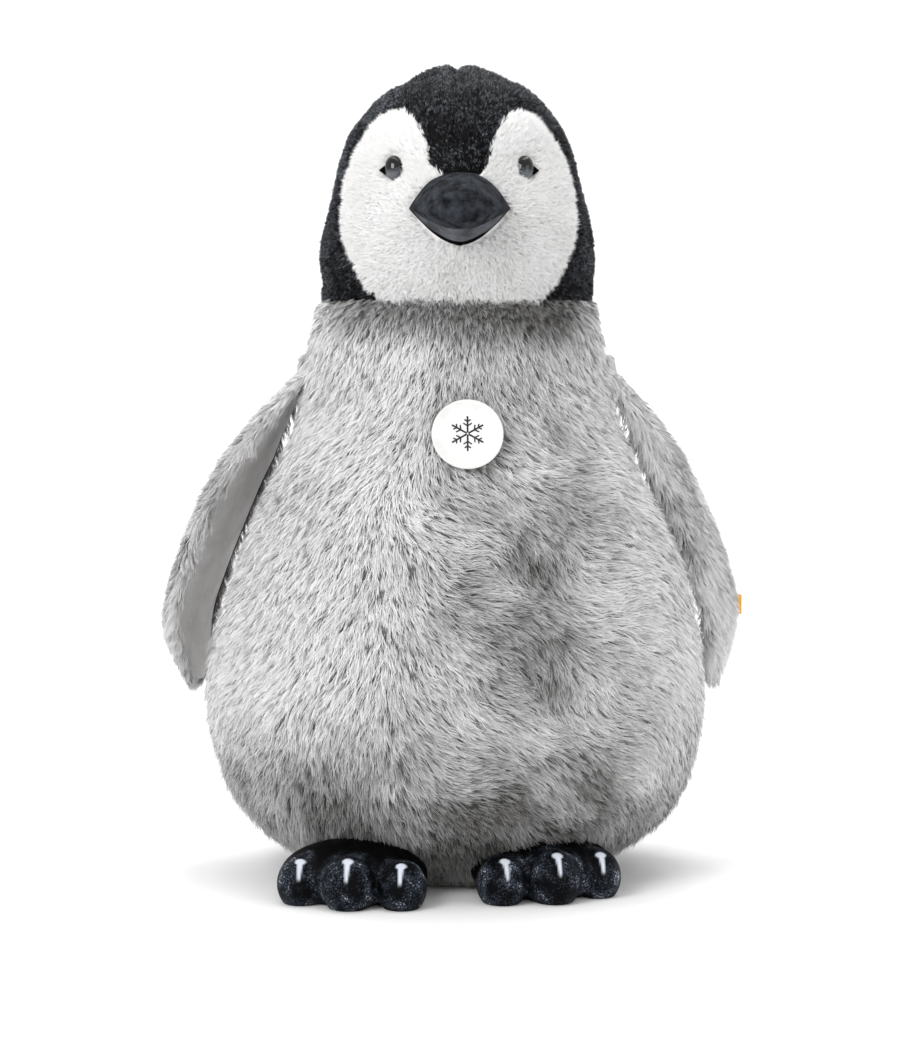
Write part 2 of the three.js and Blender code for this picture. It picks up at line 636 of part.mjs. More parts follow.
piece('beak_stuffing', upperCore.subtract(headClear), '#f2f0ea', 1);
piece('beak_lip', lipRaw.intersect(underMouth).subtract(upperAround).subtract(headClear), '#5b5d61', 0.8);
piece('beak_lower', lowerRaw.intersect(underMouth).subtract(lipAround).subtract(upperAround)
  .subtract(headClear), '#1c1c1e', 0.9);

// wings: long-pile outer skin, smooth lining and a flat filling
sides.forEach((side) => {
  const flank = (inset) => bodyForm(WING_STAND_OFF + inset).subtract(pocket(side, inset));
  const raw = wingForm(side, 0).subtract(flank(0));
  const inner = wingForm(side, WING_SKIN).subtract(flank(WING_SKIN));
  const core = wingForm(side, WING_SKIN + GAP).subtract(flank(WING_SKIN + GAP));
  const shell = raw.subtract(inner);
  piece(`wing_${sideName(side)}_outer`, shell.subtract(wingInside(side, 0)), '#b6b3ae', 1);
  piece(`wing_${sideName(side)}_lining`, shell.intersect(wingInside(side, GAP)), '#cfc9c4', 0.9);
  piece(`wing_${sideName(side)}_stuffing`, core, '#f2f0ea', 1);
});

// feet: velvet uppers, flat soles and fillings
const aboveSole = box([-REACH_FAR, -REACH_FAR, SOLE_THICK + GAP], [REACH_FAR, REACH_FAR, WIDE_HEIGHT]);
const soleSlab = box([-REACH_FAR, -REACH_FAR, 0], [REACH_FAR, REACH_FAR, SOLE_THICK]);
sides.forEach((side) => {
  const raw = footForm(side, 0).subtract(footAround);
  const inner = footForm(side, FOOT_SKIN);
  const core = footForm(side, FOOT_SKIN + GAP).subtract(bodyForm(GAP * 4));
  piece(`foot_${sideName(side)}_upper`, raw.subtract(inner).intersect(aboveSole), '#121214', 0.9);
  piece(`foot_${sideName(side)}_sole`, raw.intersect(soleSlab), '#0f0f10', 0.95);
  piece(`foot_${sideName(side)}_stuffing`, core.intersect(aboveSole), '#f2f0ea', 1);
});

// badge: a shallow shell with a rolled rim holding a plain disc, a stem and its washer
const rim = BADGE_RADIUS;
const shellProfile = [
  [0, -BADGE_STEM_LENGTH], [BADGE_STEM, -BADGE_STEM_LENGTH], [BADGE_STEM, 0], [rim - 1.5, 0],
  [rim - 0.4, 0.5], [rim, 1.6], [rim - 0.3, BADGE_THICK - 0.4], [rim - 1.2, BADGE_THICK],
  [rim - 2.3, BADGE_THICK - 0.5], [rim - 2.6, 1.5], [0, 1.5],
];
const discProfile = [[0, 1.7], [rim - 3, 1.7], [rim - 3, 2.3], [rim * 0.6, 2.9], [0, 3.1]];
const washerProfile = [
  [BADGE_STEM + 0.25, washerLow], [WASHER_RADIUS, washerLow], [WASHER_RADIUS, washerLow + WASHER_THICK],
  [BADGE_STEM + 0.25, washerLow + WASHER_THICK], [BADGE_STEM + 0.25, washerLow],
];
piece('badge_shell', turned(shellProfile, badgePlace, chest.direction), '#e9e9e9', 0.35);
piece('badge_disc', turned(discProfile, badgePlace, chest.direction), '#fbfbfb', 0.3);
piece('badge_washer', turned(washerProfile, badgePlace, chest.direction), '#e8e8e8', 0.5);

// woven label folded over and sewn at the rear edge of the left wing
const twistLeft = THREE.MathUtils.degToRad(WING_TWIST.left);
const labelChord = through(WING_CHORD_CURVE, LABEL_AT) + LABEL_STAND_OFF;
const labelX = bodyHalfWidth(SHOULDER_UP) - SHOULDER_SINK + through(WING_OUT_CURVE, LABEL_AT)
  + labelChord * Math.sin(twistLeft);
const labelY = through(WING_BACK_CURVE, LABEL_AT) + labelChord * Math.cos(twistLeft);
const labelGeometry = new THREE.BoxGeometry(LABEL_THICK, LABEL_LENGTH, LABEL_HEIGHT);
labelGeometry.translate(0, LABEL_LENGTH / 2, 0);
labelGeometry.rotateZ(-THREE.MathUtils.degToRad(LABEL_SWEEP));
labelGeometry.translate(labelX, labelY, SHOULDER_UP * NECK - LABEL_AT * WING_LENGTH);
piece('wing_label', solid(labelGeometry), '#f2b23c', 0.8);

export default group;
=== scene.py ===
"""Looks of the plush penguin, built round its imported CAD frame. Metres, +Z up, the face towards -Y."""

import json
import math

import bmesh
import bpy
import numpy as np
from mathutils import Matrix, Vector


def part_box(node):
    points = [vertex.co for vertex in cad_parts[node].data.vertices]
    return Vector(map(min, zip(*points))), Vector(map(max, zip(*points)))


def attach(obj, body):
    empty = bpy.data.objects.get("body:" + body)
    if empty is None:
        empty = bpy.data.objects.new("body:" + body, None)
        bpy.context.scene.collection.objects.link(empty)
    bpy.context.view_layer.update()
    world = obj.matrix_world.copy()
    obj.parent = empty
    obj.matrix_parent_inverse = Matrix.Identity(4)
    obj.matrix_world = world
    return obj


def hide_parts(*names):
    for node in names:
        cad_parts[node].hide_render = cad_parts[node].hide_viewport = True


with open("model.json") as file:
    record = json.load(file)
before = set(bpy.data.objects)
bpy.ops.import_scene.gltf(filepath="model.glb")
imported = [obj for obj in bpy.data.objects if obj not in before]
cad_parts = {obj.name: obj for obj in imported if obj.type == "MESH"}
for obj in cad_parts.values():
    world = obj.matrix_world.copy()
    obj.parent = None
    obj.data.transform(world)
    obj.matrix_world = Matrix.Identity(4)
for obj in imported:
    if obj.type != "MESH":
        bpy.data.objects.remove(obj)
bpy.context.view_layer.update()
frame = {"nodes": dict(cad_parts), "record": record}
MM = 0.001

# ------------------------------------------------------------------ sizes taken from the frame
FRONT_LOW, FRONT_HIGH = (np.array(corner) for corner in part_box("body_front_panel"))
NECK = FRONT_HIGH[2]
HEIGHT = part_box("hood_left")[1][2]
HEAD_HEIGHT = HEIGHT - NECK
HEAD_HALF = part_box("hood_left")[1][0]
BODY_HALF = FRONT_HIGH[0]
BELLY_REACH = -FRONT_LOW[1]
BACK_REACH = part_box("body_back_left_panel")[1][1]
JOINTS = {joint["name"]: joint for joint in frame["record"]["behaviour"]["joints"]}
PIVOT = np.array(JOINTS["head_turn"]["pos_m"])
BOWL_CLEARANCE = 1.2 * MM
BOWL_WALL = 6.2 * MM
BOWL_RADIUS = HEAD_HALF + BOWL_CLEARANCE
RIM_RADIUS = math.sqrt(BOWL_RADIUS**2 - (PIVOT[2] - NECK) ** 2) + BOWL_WALL

# outlines as (place, value) pairs: as in the CAD, but the wings are thicker at the root and twist more
WIDEST = 0.31
BODY_FOOT = [(0, 0.53), (0.042, 0.672), (0.08, 0.8), (0.127, 0.9), (0.19, 0.963), (0.26, 0.995), (0.31, 1)]
BODY_TOP = [
    (0.31, 1), (0.4, 0.955), (0.49, 0.83), (0.6, 0.64), (0.71, 0.36), (0.8, 0.17), (0.9, 0.07), (1, 0),
]
REACH_FOOT = [(0, 0.53), (0.042, 0.68), (0.08, 0.8), (0.13, 0.9), (0.2, 0.97), (0.31, 1)]
REACH_TOP = [(0.31, 1), (0.44, 0.94), (0.57, 0.78), (0.68, 0.6), (0.77, 0.43), (0.88, 0.2), (1, 0)]
HEAD_CURVE = [
    (-0.06, 0.92), (0, 0.965), (0.09, 0.99), (0.2, 1), (0.3, 0.977), (0.4, 0.937), (0.5, 0.893),
    (0.604, 0.848), (0.707, 0.774), (0.808, 0.639), (0.86, 0.548), (0.911, 0.414), (0.962, 0.268),
    (0.985, 0.17), (1, 0.06),
]
FACE_EDGE = [
    (0, 0.5), (0.162, 0.533), (0.205, 0.63), (0.25, 0.7), (0.313, 0.75), (0.396, 0.782), (0.534, 0.763),
    (0.632, 0.709), (0.715, 0.634), (0.775, 0.565), (0.822, 0.486), (0.842, 0.388), (0.838, 0.29),
    (0.8, 0.2), (0.7, 0.076), (0.615, 0.017), (0.5, -0.06), (0.46, -0.12),
]
WING_OUT = [
    (0, 5), (0.04, 14.5), (0.1, 26), (0.2, 44), (0.34, 66), (0.5, 86), (0.65, 102), (0.8, 112), (1, 106),
]
WING_BACK = [(-1, 18), (0, 18), (0.5, 52), (1, 70)]
WING_CHORD = [(-1, 36), (0, 36), (0.3, 50), (0.6, 54), (0.82, 45), (0.94, 29), (1, 12)]
WING_THICK = [(0, 9), (0.04, 10), (0.1, 11), (0.2, 12), (0.35, 12), (0.6, 11), (0.85, 8.5), (1, 4)]
WING_LENGTH = 277 * MM
WING_TWIST = {1: 18, -1: -19}
TWIST_GAIN = 3.6
ROOT_RADIUS = 14 * MM

BEAK_UP = 0.37
BEAK_HALF = 43 * MM
BEAK_REACH = 52 * MM
BEAK_TOP = 31 * MM
BEAK_MIDDLE = 22 * MM
BEAK_LIP = 31 * MM
BEAK_LIP_BACK = 15 * MM
BEAK_BOTTOM = 35 * MM
BEAK_LOWER_BACK = 28 * MM
BEAK_DROOP = 7 * MM

EYE_OUT = 0.47
EYE_UP = 0.54
EYE_AIM = 36
EYE_RISE = 0.2
EYE_LEAN = 17
EYE_NARROW = 0.75
EYE_RADIUS = 11 * MM
EYE_DOME = 7 * MM
EYE_SINK = 1.5 * MM

TOES = [(41, 178, 21.5, 27, 24, 16), (84, 180, 24, 30, 26, 18), (125, 162, 21, 26, 24, 16)]
INSTEP = (84, 140, 62, 52, 30, 20)
FOOT_STEP = {1: -12, -1: 10}
FOOT_SIDE = {1: -15, -1: -5}
FOOT_TURN = {1: 9, -1: 5}

SKIN_INSET = 5 * MM
SEAM_SHIFT = 3 * MM
MOST_BLADES = 64000


# ------------------------------------------------------------------ small tools
def linear(red, green, blue):
    """A colour given as the eye sees it, 0 to 255, as the shader wants it."""
    return tuple((c / 255) ** 2.2 for c in (red, green, blue)) + (1.0,)


def through(curve, at):
    """Values of a smooth curve through (place, value) pairs."""
    xs, ys = np.array(curve, float).T
    at = np.asarray(at, float)
    i = np.clip(np.searchsorted(xs, at, side="right") - 1, 0, len(xs) - 2)
    last = len(xs) - 1
    run = xs[i + 1] - xs[i]
    u = np.clip((at - xs[i]) / run, 0, 1)
    before, after = np.maximum(i - 1, 0), np.minimum(i + 2, last)
    slope_a = (ys[i + 1] - ys[before]) / (xs[i + 1] - xs[before]) * run
    slope_b = (ys[after] - ys[i]) / (xs[after] - xs[i]) * run
    rise = ys[i + 1] - ys[i]
    a = slope_a + slope_b - 2 * rise
    b = 3 * rise - 2 * slope_a - slope_b
    return ys[i] + u * (slope_a + u * (b + u * a))


def noise(points, scale, seed):
    """Smooth noise from -1 to 1 over points in space."""
    q = np.asarray(points) / scale
    base = np.floor(q).astype(np.int64)
    f = q - base
    f = f * f * (3 - 2 * f)
    total = np.zeros(len(q))
    for corner in range(8):
        step = np.array([corner & 1, corner >> 1 & 1, corner >> 2 & 1])
        cell = base + step
        key = cell[:, 0] * 73856093 ^ cell[:, 1] * 19349663 ^ cell[:, 2] * 83492791 ^ seed * 40503
        key = (key ^ key >> 13) * 1274126177 & 0x7FFFFFFF
        key = (key ^ key >> 15) * 668265263 & 0x7FFFFFFF
        value = (key >> 8 & 0xFFFF) / 32767.5 - 1
        weight = np.prod(np.where(step, f, 1 - f), axis=1)
        total += value * weight
    return total


def unit(vectors):
    return vectors / np.maximum(np.linalg.norm(vectors, axis=-1, keepdims=True), 1e-12)


def smooth(low, high, value):
    t = np.clip((value - low) / (high - low), 0, 1)
    return t * t * (3 - 2 * t)


def mesh_object(name, points, faces, smooth_faces=True):
    mesh = bpy.data.meshes.new(name)
    mesh.from_pydata(np.asarray(points).tolist(), [], [list(map(int, face)) for face in faces])
    mesh.update()
    if smooth_faces:
        mesh.shade_smooth()
    piece = bpy.data.objects.new(name, mesh)
    bpy.context.collection.objects.link(piece)
    return piece


def grid_faces(rows, cols, closed=True):
    """Quads over a grid of points; closed joins the last column to the first."""
    r, c = np.meshgrid(np.arange(rows - 1), np.arange(cols if closed else cols - 1), indexing="ij")
    r, c = r.ravel(), c.ravel()
    n = (c + 1) % cols
    return np.stack([r * cols + c, r * cols + n, (r + 1) * cols + n, (r + 1) * cols + c], axis=1)


def skin_normals(points, faces):
    """Smooth outward normals of a quad skin."""
    a, b, c, d = (points[faces[:, k]] for k in range(4))
    face_normals = np.cross(c - a, d - b)
    normals = np.zeros_like(points)
    for k in range(4):
        np.add.at(normals, faces[:, k], face_normals)
    return unit(normals)


def paint(mesh, title, values):
    """Stores one value per point, for the piece's material."""
    attribute = mesh.attributes.new(title, "FLOAT", "POINT")
    attribute.data.foreach_set("value", np.asarray(values, np.float32))


def dress(piece, body, material, slot, *nodes):
    """Rides on a body, stands for CAD nodes, and takes its material."""
    piece.data.materials.clear()
    piece.data.materials.append(material)
    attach(piece, body)
    if nodes:
        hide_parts(*nodes)
    return piece


# ------------------------------------------------------------------ materials
def new_material(name):
    material = bpy.data.materials.new(name)
    material.use_nodes = True
    return material, material.node_tree.nodes, material.node_tree.links


def painted(nodes, title):
    """The value that a piece stores for its material."""
    node = nodes.new("ShaderNodeAttribute")
    node.attribute_name = title
    return node.outputs["Fac"]


def ramp_of(nodes, links, share, stops):
    """A colour from (place, colour) stops."""
    ramp = nodes.new("ShaderNodeValToRGB")
    elements = ramp.color_ramp.elements
    while len(elements) < len(stops):
        elements.new(0.5)
    for element, (place, colour) in zip(elements, stops):
        element.position = place
        element.color = linear(*colour)
    links.new(share, ramp.inputs["Fac"])
    return ramp.outputs["Color"]


def mix_of(nodes, links, share, first, second):
    """Two colours mixed; each is a socket or an (r, g, b) as the eye sees it."""
    mix = nodes.new("ShaderNodeMix")
    mix.data_type = "RGBA"
    links.new(share, mix.inputs[0])
    for socket, colour in ((6, first), (7, second)):
        if isinstance(colour, tuple):
            mix.inputs[socket].default_value = linear(*colour)
        else:
            links.new(colour, mix.inputs[socket])
    return mix.outputs[2]


def noise_of(nodes, links, place, scale, detail, roughness=0.5):
    cloud = nodes.new("ShaderNodeTexNoise")
    cloud.inputs["Scale"].default_value = scale
    cloud.inputs["Detail"].default_value = detail
    cloud.inputs["Roughness"].default_value = roughness
    links.new(place, cloud.inputs["Vector"])
    return cloud.outputs["Fac"]


def raised(nodes, links, height, strength, distance):
    """A raised nap, laid on the shader's normal."""
    bump = nodes.new("ShaderNodeBump")
    bump.inputs["Strength"].default_value = strength
    bump.inputs["Distance"].default_value = distance
    links.new(height, bump.inputs["Height"])
    links.new(bump.outputs["Normal"], nodes["Principled BSDF"].inputs["Normal"])


def fur_material(name, bright, dark, roughness=0.75, sheen=0.25, specular=0.25):
    """Pile cloth: each blade goes from root to tip colour, between a bright and a dark set."""
    material, nodes, links = new_material(name)
    shader = nodes["Principled BSDF"]
    along = painted(nodes, "along")
    sets = [ramp_of(nodes, links, along, stops) for stops in (bright, dark)]
    links.new(mix_of(nodes, links, painted(nodes, "shade"), *sets), shader.inputs["Base Color"])
    shader.inputs["Roughness"].default_value = roughness
    shader.inputs["Sheen Weight"].default_value = sheen
    shader.inputs["Specular IOR Level"].default_value = specular
    return material


def cloth_material(name, low, high, scale, bump, roughness=0.85, sheen=0.3, detail=6.0, edge=None,
                   specular=0.3):
    """Cloth or suede: two colours broken up by noise, with a fine raised nap; edge mixes its colour in where
    the piece's edge value is painted: painted shade at the beak's root and a painted reflection on the eyes'
    lower half.
    """
    material, nodes, links = new_material(name)
    shader = nodes["Principled BSDF"]
    place = nodes.new("ShaderNodeTexCoord").outputs["Object"]
    cloud = noise_of(nodes, links, place, scale, detail, 0.62)
    colour = ramp_of(nodes, links, cloud, ((0.35, low), (0.68, high)))
    if edge:
        colour = mix_of(nodes, links, painted(nodes, "edge"), colour, edge)
    links.new(colour, shader.inputs["Base Color"])
    raised(nodes, links, noise_of(nodes, links, place, scale * 9, 4), bump, 0.0006)
    shader.inputs["Roughness"].default_value = roughness
    shader.inputs["Sheen Weight"].default_value = sheen
    shader.inputs["Specular IOR Level"].default_value = specular
    return material


# ------------------------------------------------------------------ fur
def scatter(points, faces, normals, count, rng, weight):
    """Random places on a skin, spread by area and weight, with the normals there."""
    a, b, c, d = (points[faces[:, k]] for k in range(4))
    area = 0.5 * np.linalg.norm(np.cross(c - a, d - b), axis=1)
    area = area * weight(points[faces].mean(axis=1))
    pick = rng.choice(len(faces), size=count, p=area / area.sum())
    u, v = rng.random((2, count, 1))
    corners = [points[faces[pick, k]] for k in range(4)]
    slopes = [normals[faces[pick, k]] for k in range(4)]
    shares = [(1 - u) * (1 - v), u * (1 - v), u * v, (1 - u) * v]
    place = sum(s * p for s, p in zip(shares, corners))
    normal = unit(sum(s * n for s, n in zip(shares, slopes)))
    return place, normal


def turn_about(vectors, axis, angle):
    """Turns each vector, square to its axis, by its angle."""
    cos, sin = np.cos(angle)[:, None], np.sin(angle)[:, None]
    return vectors * cos + np.cross(axis, vectors) * sin


def blades(name, roots, middles, tips, sides, normals, shade):
    """One mesh of tapered blades; its colour comes from the along and shade values."""
    count = len(roots)
    points = np.empty((count, 5, 3))
    points[:, 0], points[:, 1] = roots - sides, roots + sides
    points[:, 2], points[:, 3] = middles - sides * 0.75, middles + sides * 0.75
    points[:, 4] = tips
    points[:, :, 2] = np.maximum(points[:, :, 2], 0.6 * MM)
    start = np.arange(count)[:, None, None] * 5
    faces = (start + np.array([[0, 1, 3], [0, 3, 2], [2, 3, 4]])).reshape(-1, 3)
    mesh = bpy.data.meshes.new(name)
    mesh.vertices.add(count * 5)
    mesh.vertices.foreach_set("co", points.ravel())
    mesh.loops.add(len(faces) * 3)
    mesh.loops.foreach_set("vertex_index", faces.ravel().astype(np.int32))
    mesh.polygons.add(len(faces))
    mesh.polygons.foreach_set("loop_start", np.arange(0, len(faces) * 3, 3, dtype=np.int32))
    mesh.update(calc_edges=True)
    along = np.tile([0, 0, 0.5, 0.5, 1.0], count)
    values = np.repeat(np.clip(shade, 0.02, 0.98), 5)
    for title, data in (("along", along), ("shade", values)):
        paint(mesh, title, data)
    shift = np.tile([-0.004, 0.004, -0.003, 0.003, 0], count)
    across = (values + shift)[faces.ravel()]
    upward = (0.02 + 0.96 * along)[faces.ravel()]
    layer = mesh.uv_layers.new(name="OFBake")
    layer.uv.foreach_set("vector", np.stack([across, upward], axis=1).ravel().astype(np.float32))
    mesh.shade_smooth()
    mesh.normals_split_custom_set_from_vertices(np.repeat(normals, 5, axis=0).tolist())
    piece = bpy.data.objects.new(name, mesh)
    bpy.context.collection.objects.link(piece)
    return piece


def grow_fur(name, skin, tufts, per_tuft, style, seed):
    """Tufts of blades over a skin. style gives weight, flow, length, lift and shade as functions."""
    points, faces, normals = skin
    rng = np.random.default_rng(seed)
    centre, normal = scatter(points, faces, normals, tufts, rng, style["weight"])
    flow = style["flow"](centre, normal)
    flow = unit(flow - normal * np.sum(flow * normal, axis=1, keepdims=True))
    length = style["length"](centre, normal) * rng.uniform(0.8, 1.15, tufts)
    lift = np.radians(style["lift"](centre) + rng.normal(0, style.get("lift_spread", 6), tufts))
    flow = turn_about(flow, normal, rng.normal(0, style.get("stray", 0.16), tufts))
    shade = style["shade"](centre, normal) + rng.normal(0, style.get("shade_spread", 0.08), tufts)
    wobble = rng.normal(0, style.get("lean", 0.16), (tufts, 3))

    def each(values):
        return np.repeat(values, per_tuft, axis=0)

    total = tufts * per_tuft
    centre, normal, flow = each(centre), each(normal), each(flow)
    length = each(length) * rng.uniform(0.72, 1.12, total)
    lift, shade = each(lift), each(shade) + rng.normal(0, 0.05, total)
    across = np.cross(normal, flow)
    spread = style["tuft"] * np.sqrt(rng.random((total, 1)))
    turn = rng.uniform(0, 2 * math.pi, (total, 1))
    offset = spread * (np.cos(turn) * flow + np.sin(turn) * across)
    roots = centre + offset
    heading = unit(flow * np.cos(lift)[:, None] + normal * np.sin(lift)[:, None])
    heading = unit(heading + rng.normal(0, style.get("frizz", 0.1), (total, 3)))
    tips = centre + offset * (1 - style["gather"]) + heading * length[:, None]
    rise = normal * (length * style.get("bow", 0.12))[:, None]
    middles = (roots + tips) / 2 + rise
    sides = unit(np.cross(heading, normal))
    sides = turn_about(sides, heading, rng.normal(0, 0.5, total))
    sides = sides * (style["width"] / 2 * rng.uniform(0.7, 1.2, (total, 1)))
    looks = unit(normal + each(wobble) + rng.normal(0, 0.08, (total, 3)) + heading * 0.15)
    pieces = []
    parts = math.ceil(total / MOST_BLADES)
    for part, chosen in enumerate(np.array_split(np.arange(total), parts)):
        title = name if parts == 1 else f"{name}_{part + 1}"
        piece = blades(title, roots[chosen], middles[chosen], tips[chosen], sides[chosen],
                       looks[chosen], shade[chosen])
        pieces.append(piece)
    return pieces


# ------------------------------------------------------------------ body
def body_half(share):
    low = BODY_HALF * through(BODY_FOOT, share)
    high = RIM_RADIUS + (BODY_HALF - RIM_RADIUS) * through(BODY_TOP, share)
    return np.where(share < WIDEST, low, high)


def body_reach(share, full):
    low = full * through(REACH_FOOT, share)
    high = RIM_RADIUS + (full - RIM_RADIUS) * through(REACH_TOP, share)
    return np.where(share < WIDEST, low, high)


def body_point(angle, share, grow=0.0):
    front = body_reach(share, BELLY_REACH) + grow
    back = body_reach(share, BACK_REACH) + grow
    reach = np.where(np.sin(angle) < 0, front, back)
    half = body_half(share) + grow
    return np.stack([half * np.cos(angle), reach * np.sin(angle), share * NECK], axis=-1)


def body_skin():
    """The grey coat's backing, from the floor up over the neck's rim and into the bowl."""
    cols, rows, inner = 240, 190, 14
    angle = np.linspace(0, 2 * math.pi, cols, endpoint=False)
    shares = np.concatenate([[0.004, 0.01], np.linspace(0.02, 1, rows)])
    a, s = np.meshgrid(angle, shares)
    tuck = (SKIN_INSET + 3 * MM * smooth(0.93, 1, s))[..., None]
    points = body_point(a, s) - tuck * unit(body_point(a, s) * [1, 1, 0])
    low = smooth(0, 0.06, s)[..., None]
    lumps = noise(points.reshape(-1, 3), 0.085, 5) * 3.2 * MM + noise(points.reshape(-1, 3), 0.03, 6) * MM
    outward = unit(points * [1, 1, 0])
    points = points + outward * lumps.reshape(s.shape)[..., None] * low * (1 - smooth(0.9, 1, s))[..., None]
    z = np.linspace(NECK, NECK - 30 * MM, inner)
    radius = np.sqrt((BOWL_RADIUS - 0.2 * MM) ** 2 - (z - PIVOT[2]) ** 2)
    a2, z2 = np.meshgrid(angle, z)
    r2 = np.repeat(np.minimum(radius, RIM_RADIUS - SKIN_INSET - 3.3 * MM)[:, None], cols, axis=1)
    bowl = np.stack([r2 * np.cos(a2), r2 * np.sin(a2), z2], axis=-1)
    points = np.concatenate([points, bowl]).reshape(-1, 3)
    faces = grid_faces(len(shares) + inner, cols)
    return points, faces, skin_normals(points, faces)


def brushed(points):
    """1 on the belly where the nap is brushed sideways, 0 elsewhere."""
    y, z = points.T[1:]
    return smooth(0.03, -0.1, y) * smooth(0.46, 0.34, z) * smooth(0.02, 0.1, z)


def body_flow(points, normals):
    """The nap runs down, and over the belly it is brushed across from the calm side to the ruffled one."""
    x, y, z = points.T
    front = brushed(points)
    parting = 0.05 * noise(points, 0.13, 13) - 0.02
    sideways = (0.75 * np.tanh((x - parting) / 0.13) + 0.55 * smooth(-0.13, 0.03, x)) * front
    flow = np.stack([sideways, 0 * y, -np.ones(len(x))], axis=1)
    flow = unit(flow - normals * np.sum(flow * normals, axis=1, keepdims=True))
    swirl = noise(points, 0.1, 11) * 0.75 + noise(points, 0.035, 12) * 0.5
    ruffled = smooth(-0.09, 0.03, x) * smooth(0.2, 0.13, x) * front
    angle = swirl * (0.3 + 0.35 * front + 0.9 * ruffled) * smooth(0.5, 0.43, z)
    return turn_about(flow, normals, angle)


def body_shade(points, normals):
    """0 for bright brushed pile, 1 for ruffled pile that shows its roots; it also carries painted shade under
    the head's hem, at the bottom of the front and on the right of the neck, and painted light on the upper
    left side.
    """
    x, y, z = points.T
    ruffle = noise(points, 0.05, 21) * 0.36 + noise(points, 0.02, 22) * 0.26
    front = smooth(0.02, -0.08, y)
    middle = np.exp(-((x - 0.045) / 0.085) ** 2 - ((z - 0.24) / 0.18) ** 2) * front
    # painted shade: darker just under the hem of the head, over the front
    painted_hem_shade = smooth(0.448, 0.486, z) * front * smooth(0.115, 0.085, np.abs(x + 0.005))
    # painted shade: darker towards the bottom of the front
    low = smooth(0.17, 0.04, z) * front
    # painted light: lighter on the upper left side, where the key lamp falls, and partly the brushed pile
    # there
    bright = smooth(0.03, -0.1, x) * smooth(0.14, 0.22, z)
    calm = 0.25 + 0.85 * np.clip(middle + low, 0, 1)
    # painted light and shade: near the neck the front is lighter on the left and darker on the right
    painted_neck_side_light = smooth(0.4, 0.47, z) * np.tanh(x / 0.06) * front
    return 0.07 + ruffle * calm + 0.56 * middle + 0.85 * painted_hem_shade + 0.66 * low - 0.1 * bright + 0.2 * painted_neck_side_light


def body_lift(points):
    """Brushed flat, but standing out where it leaves the hem of the head."""
    return 24 + 26 * smooth(NECK - 0.02, NECK - 0.002, points[:, 2])


def under_badge(points):
    """1 where the badge covers the coat, 0 elsewhere."""
    away = np.linalg.norm(points - BADGE_PLACE, axis=1)
    return smooth(31 * MM, 26 * MM, away)


def body_length(points, normals):
    plain = 15.5 * MM * (1 + 0.12 * noise(points, 0.05, 31))
    plain = plain * (1 - 0.72 * under_badge(points))
    return plain * (0.6 + 0.4 * smooth(NECK + 0.004, NECK - 0.03, points[:, 2]))


def make_body(fur, backing, cloth):
    skin = body_skin()
    coat = mesh_object("body_coat", skin[0], skin[1])
    dress(coat, "body", backing, "body_fur", "body_front_panel", "body_back_left_panel",
          "body_back_right_panel", "body_stuffing", "pellet_bag")
    style = {
        "weight": lambda p: 1 - 0.98 * (np.hypot(p[:, 0], p[:, 1]) < RIM_RADIUS - SKIN_INSET - 3.15 * MM),
        "flow": body_flow, "length": body_length, "shade": body_shade,
        "lift": body_lift, "lift_spread": 7, "tuft": 2.4 * MM, "gather": 0.74, "width": 0.72 * MM,
        "stray": 0.17, "lean": 0.16, "frizz": 0.1, "bow": 0.13, "shade_spread": 0.09,
    }
    for piece in grow_fur("body_pile", skin, 60000, 5, style, 101):
        dress(piece, "body", fur, "body_fur")
    base = frame["nodes"]["body_base_panel"]
    base.data.materials.clear()
    base.data.materials.append(cloth)


# ------------------------------------------------------------------ head
def smooth_line(stops, count):
    """A Catmull-Rom line through stops."""
    p = np.array([stops[0], *stops, stops[-1]], float)
    at = np.linspace(0, len(stops) - 1.000001, count)
    i = at.astype(int)
    u = (at - i)[:, None]
    a, b, c, d = p[i], p[i + 1], p[i + 2], p[i + 3]
    return 0.5 * (2 * b + (c - a) * u + (2 * a - 5 * b + 4 * c - d) * u**2 + (3 * b - a - 3 * c + d) * u**3)


def face_inside(points):
    """How far a point is inside the white patches, in metres, negative outside."""
    edge = smooth_line(FACE_EDGE, 60) * [HEAD_HALF, HEAD_HEIGHT] + [0, NECK]
    x = np.abs(points[:, 0])
    z = points[:, 2]
    ring = np.vstack([edge, [0, edge[-1][1]]])
    best = np.full(len(x), 1e9)
    inside = np.zeros(len(x), bool)
    for k in range(len(ring)):
        a, b = ring[k], ring[(k + 1) % len(ring)]
        crosses = (a[1] > z) != (b[1] > z)
        with np.errstate(divide="ignore", invalid="ignore"):
            where = a[0] + (z - a[1]) / (b[1] - a[1]) * (b[0] - a[0])
        inside ^= crosses & (x < where)
        if k >= len(edge) - 1:
            continue
        run = b - a
        u = np.clip(((x - a[0]) * run[0] + (z - a[1]) * run[1]) / (run @ run), 0, 1)
        best = np.minimum(best, np.hypot(x - a[0] - u * run[0], z - a[1] - u * run[1]))
    behind = points[:, 1] > 0
    best = np.where(behind, np.maximum(best, points[:, 1]), best)
    return np.where(inside & ~behind, best, -best)


def head_radius(share):
    return HEAD_HALF * through(HEAD_CURVE, share)


def head_at(share, x):
    half = float(head_radius(share))
    return np.array([x, -math.sqrt(half**2 - x**2), NECK + share * HEAD_HEIGHT])


def eye_frame(side):
    aim = math.radians(EYE_AIM)
    direction = unit(np.array([side * math.sin(aim), -math.cos(aim), EYE_RISE]))
    place = head_at(EYE_UP, side * EYE_OUT * HEAD_HALF) - direction * EYE_SINK
    return place, direction


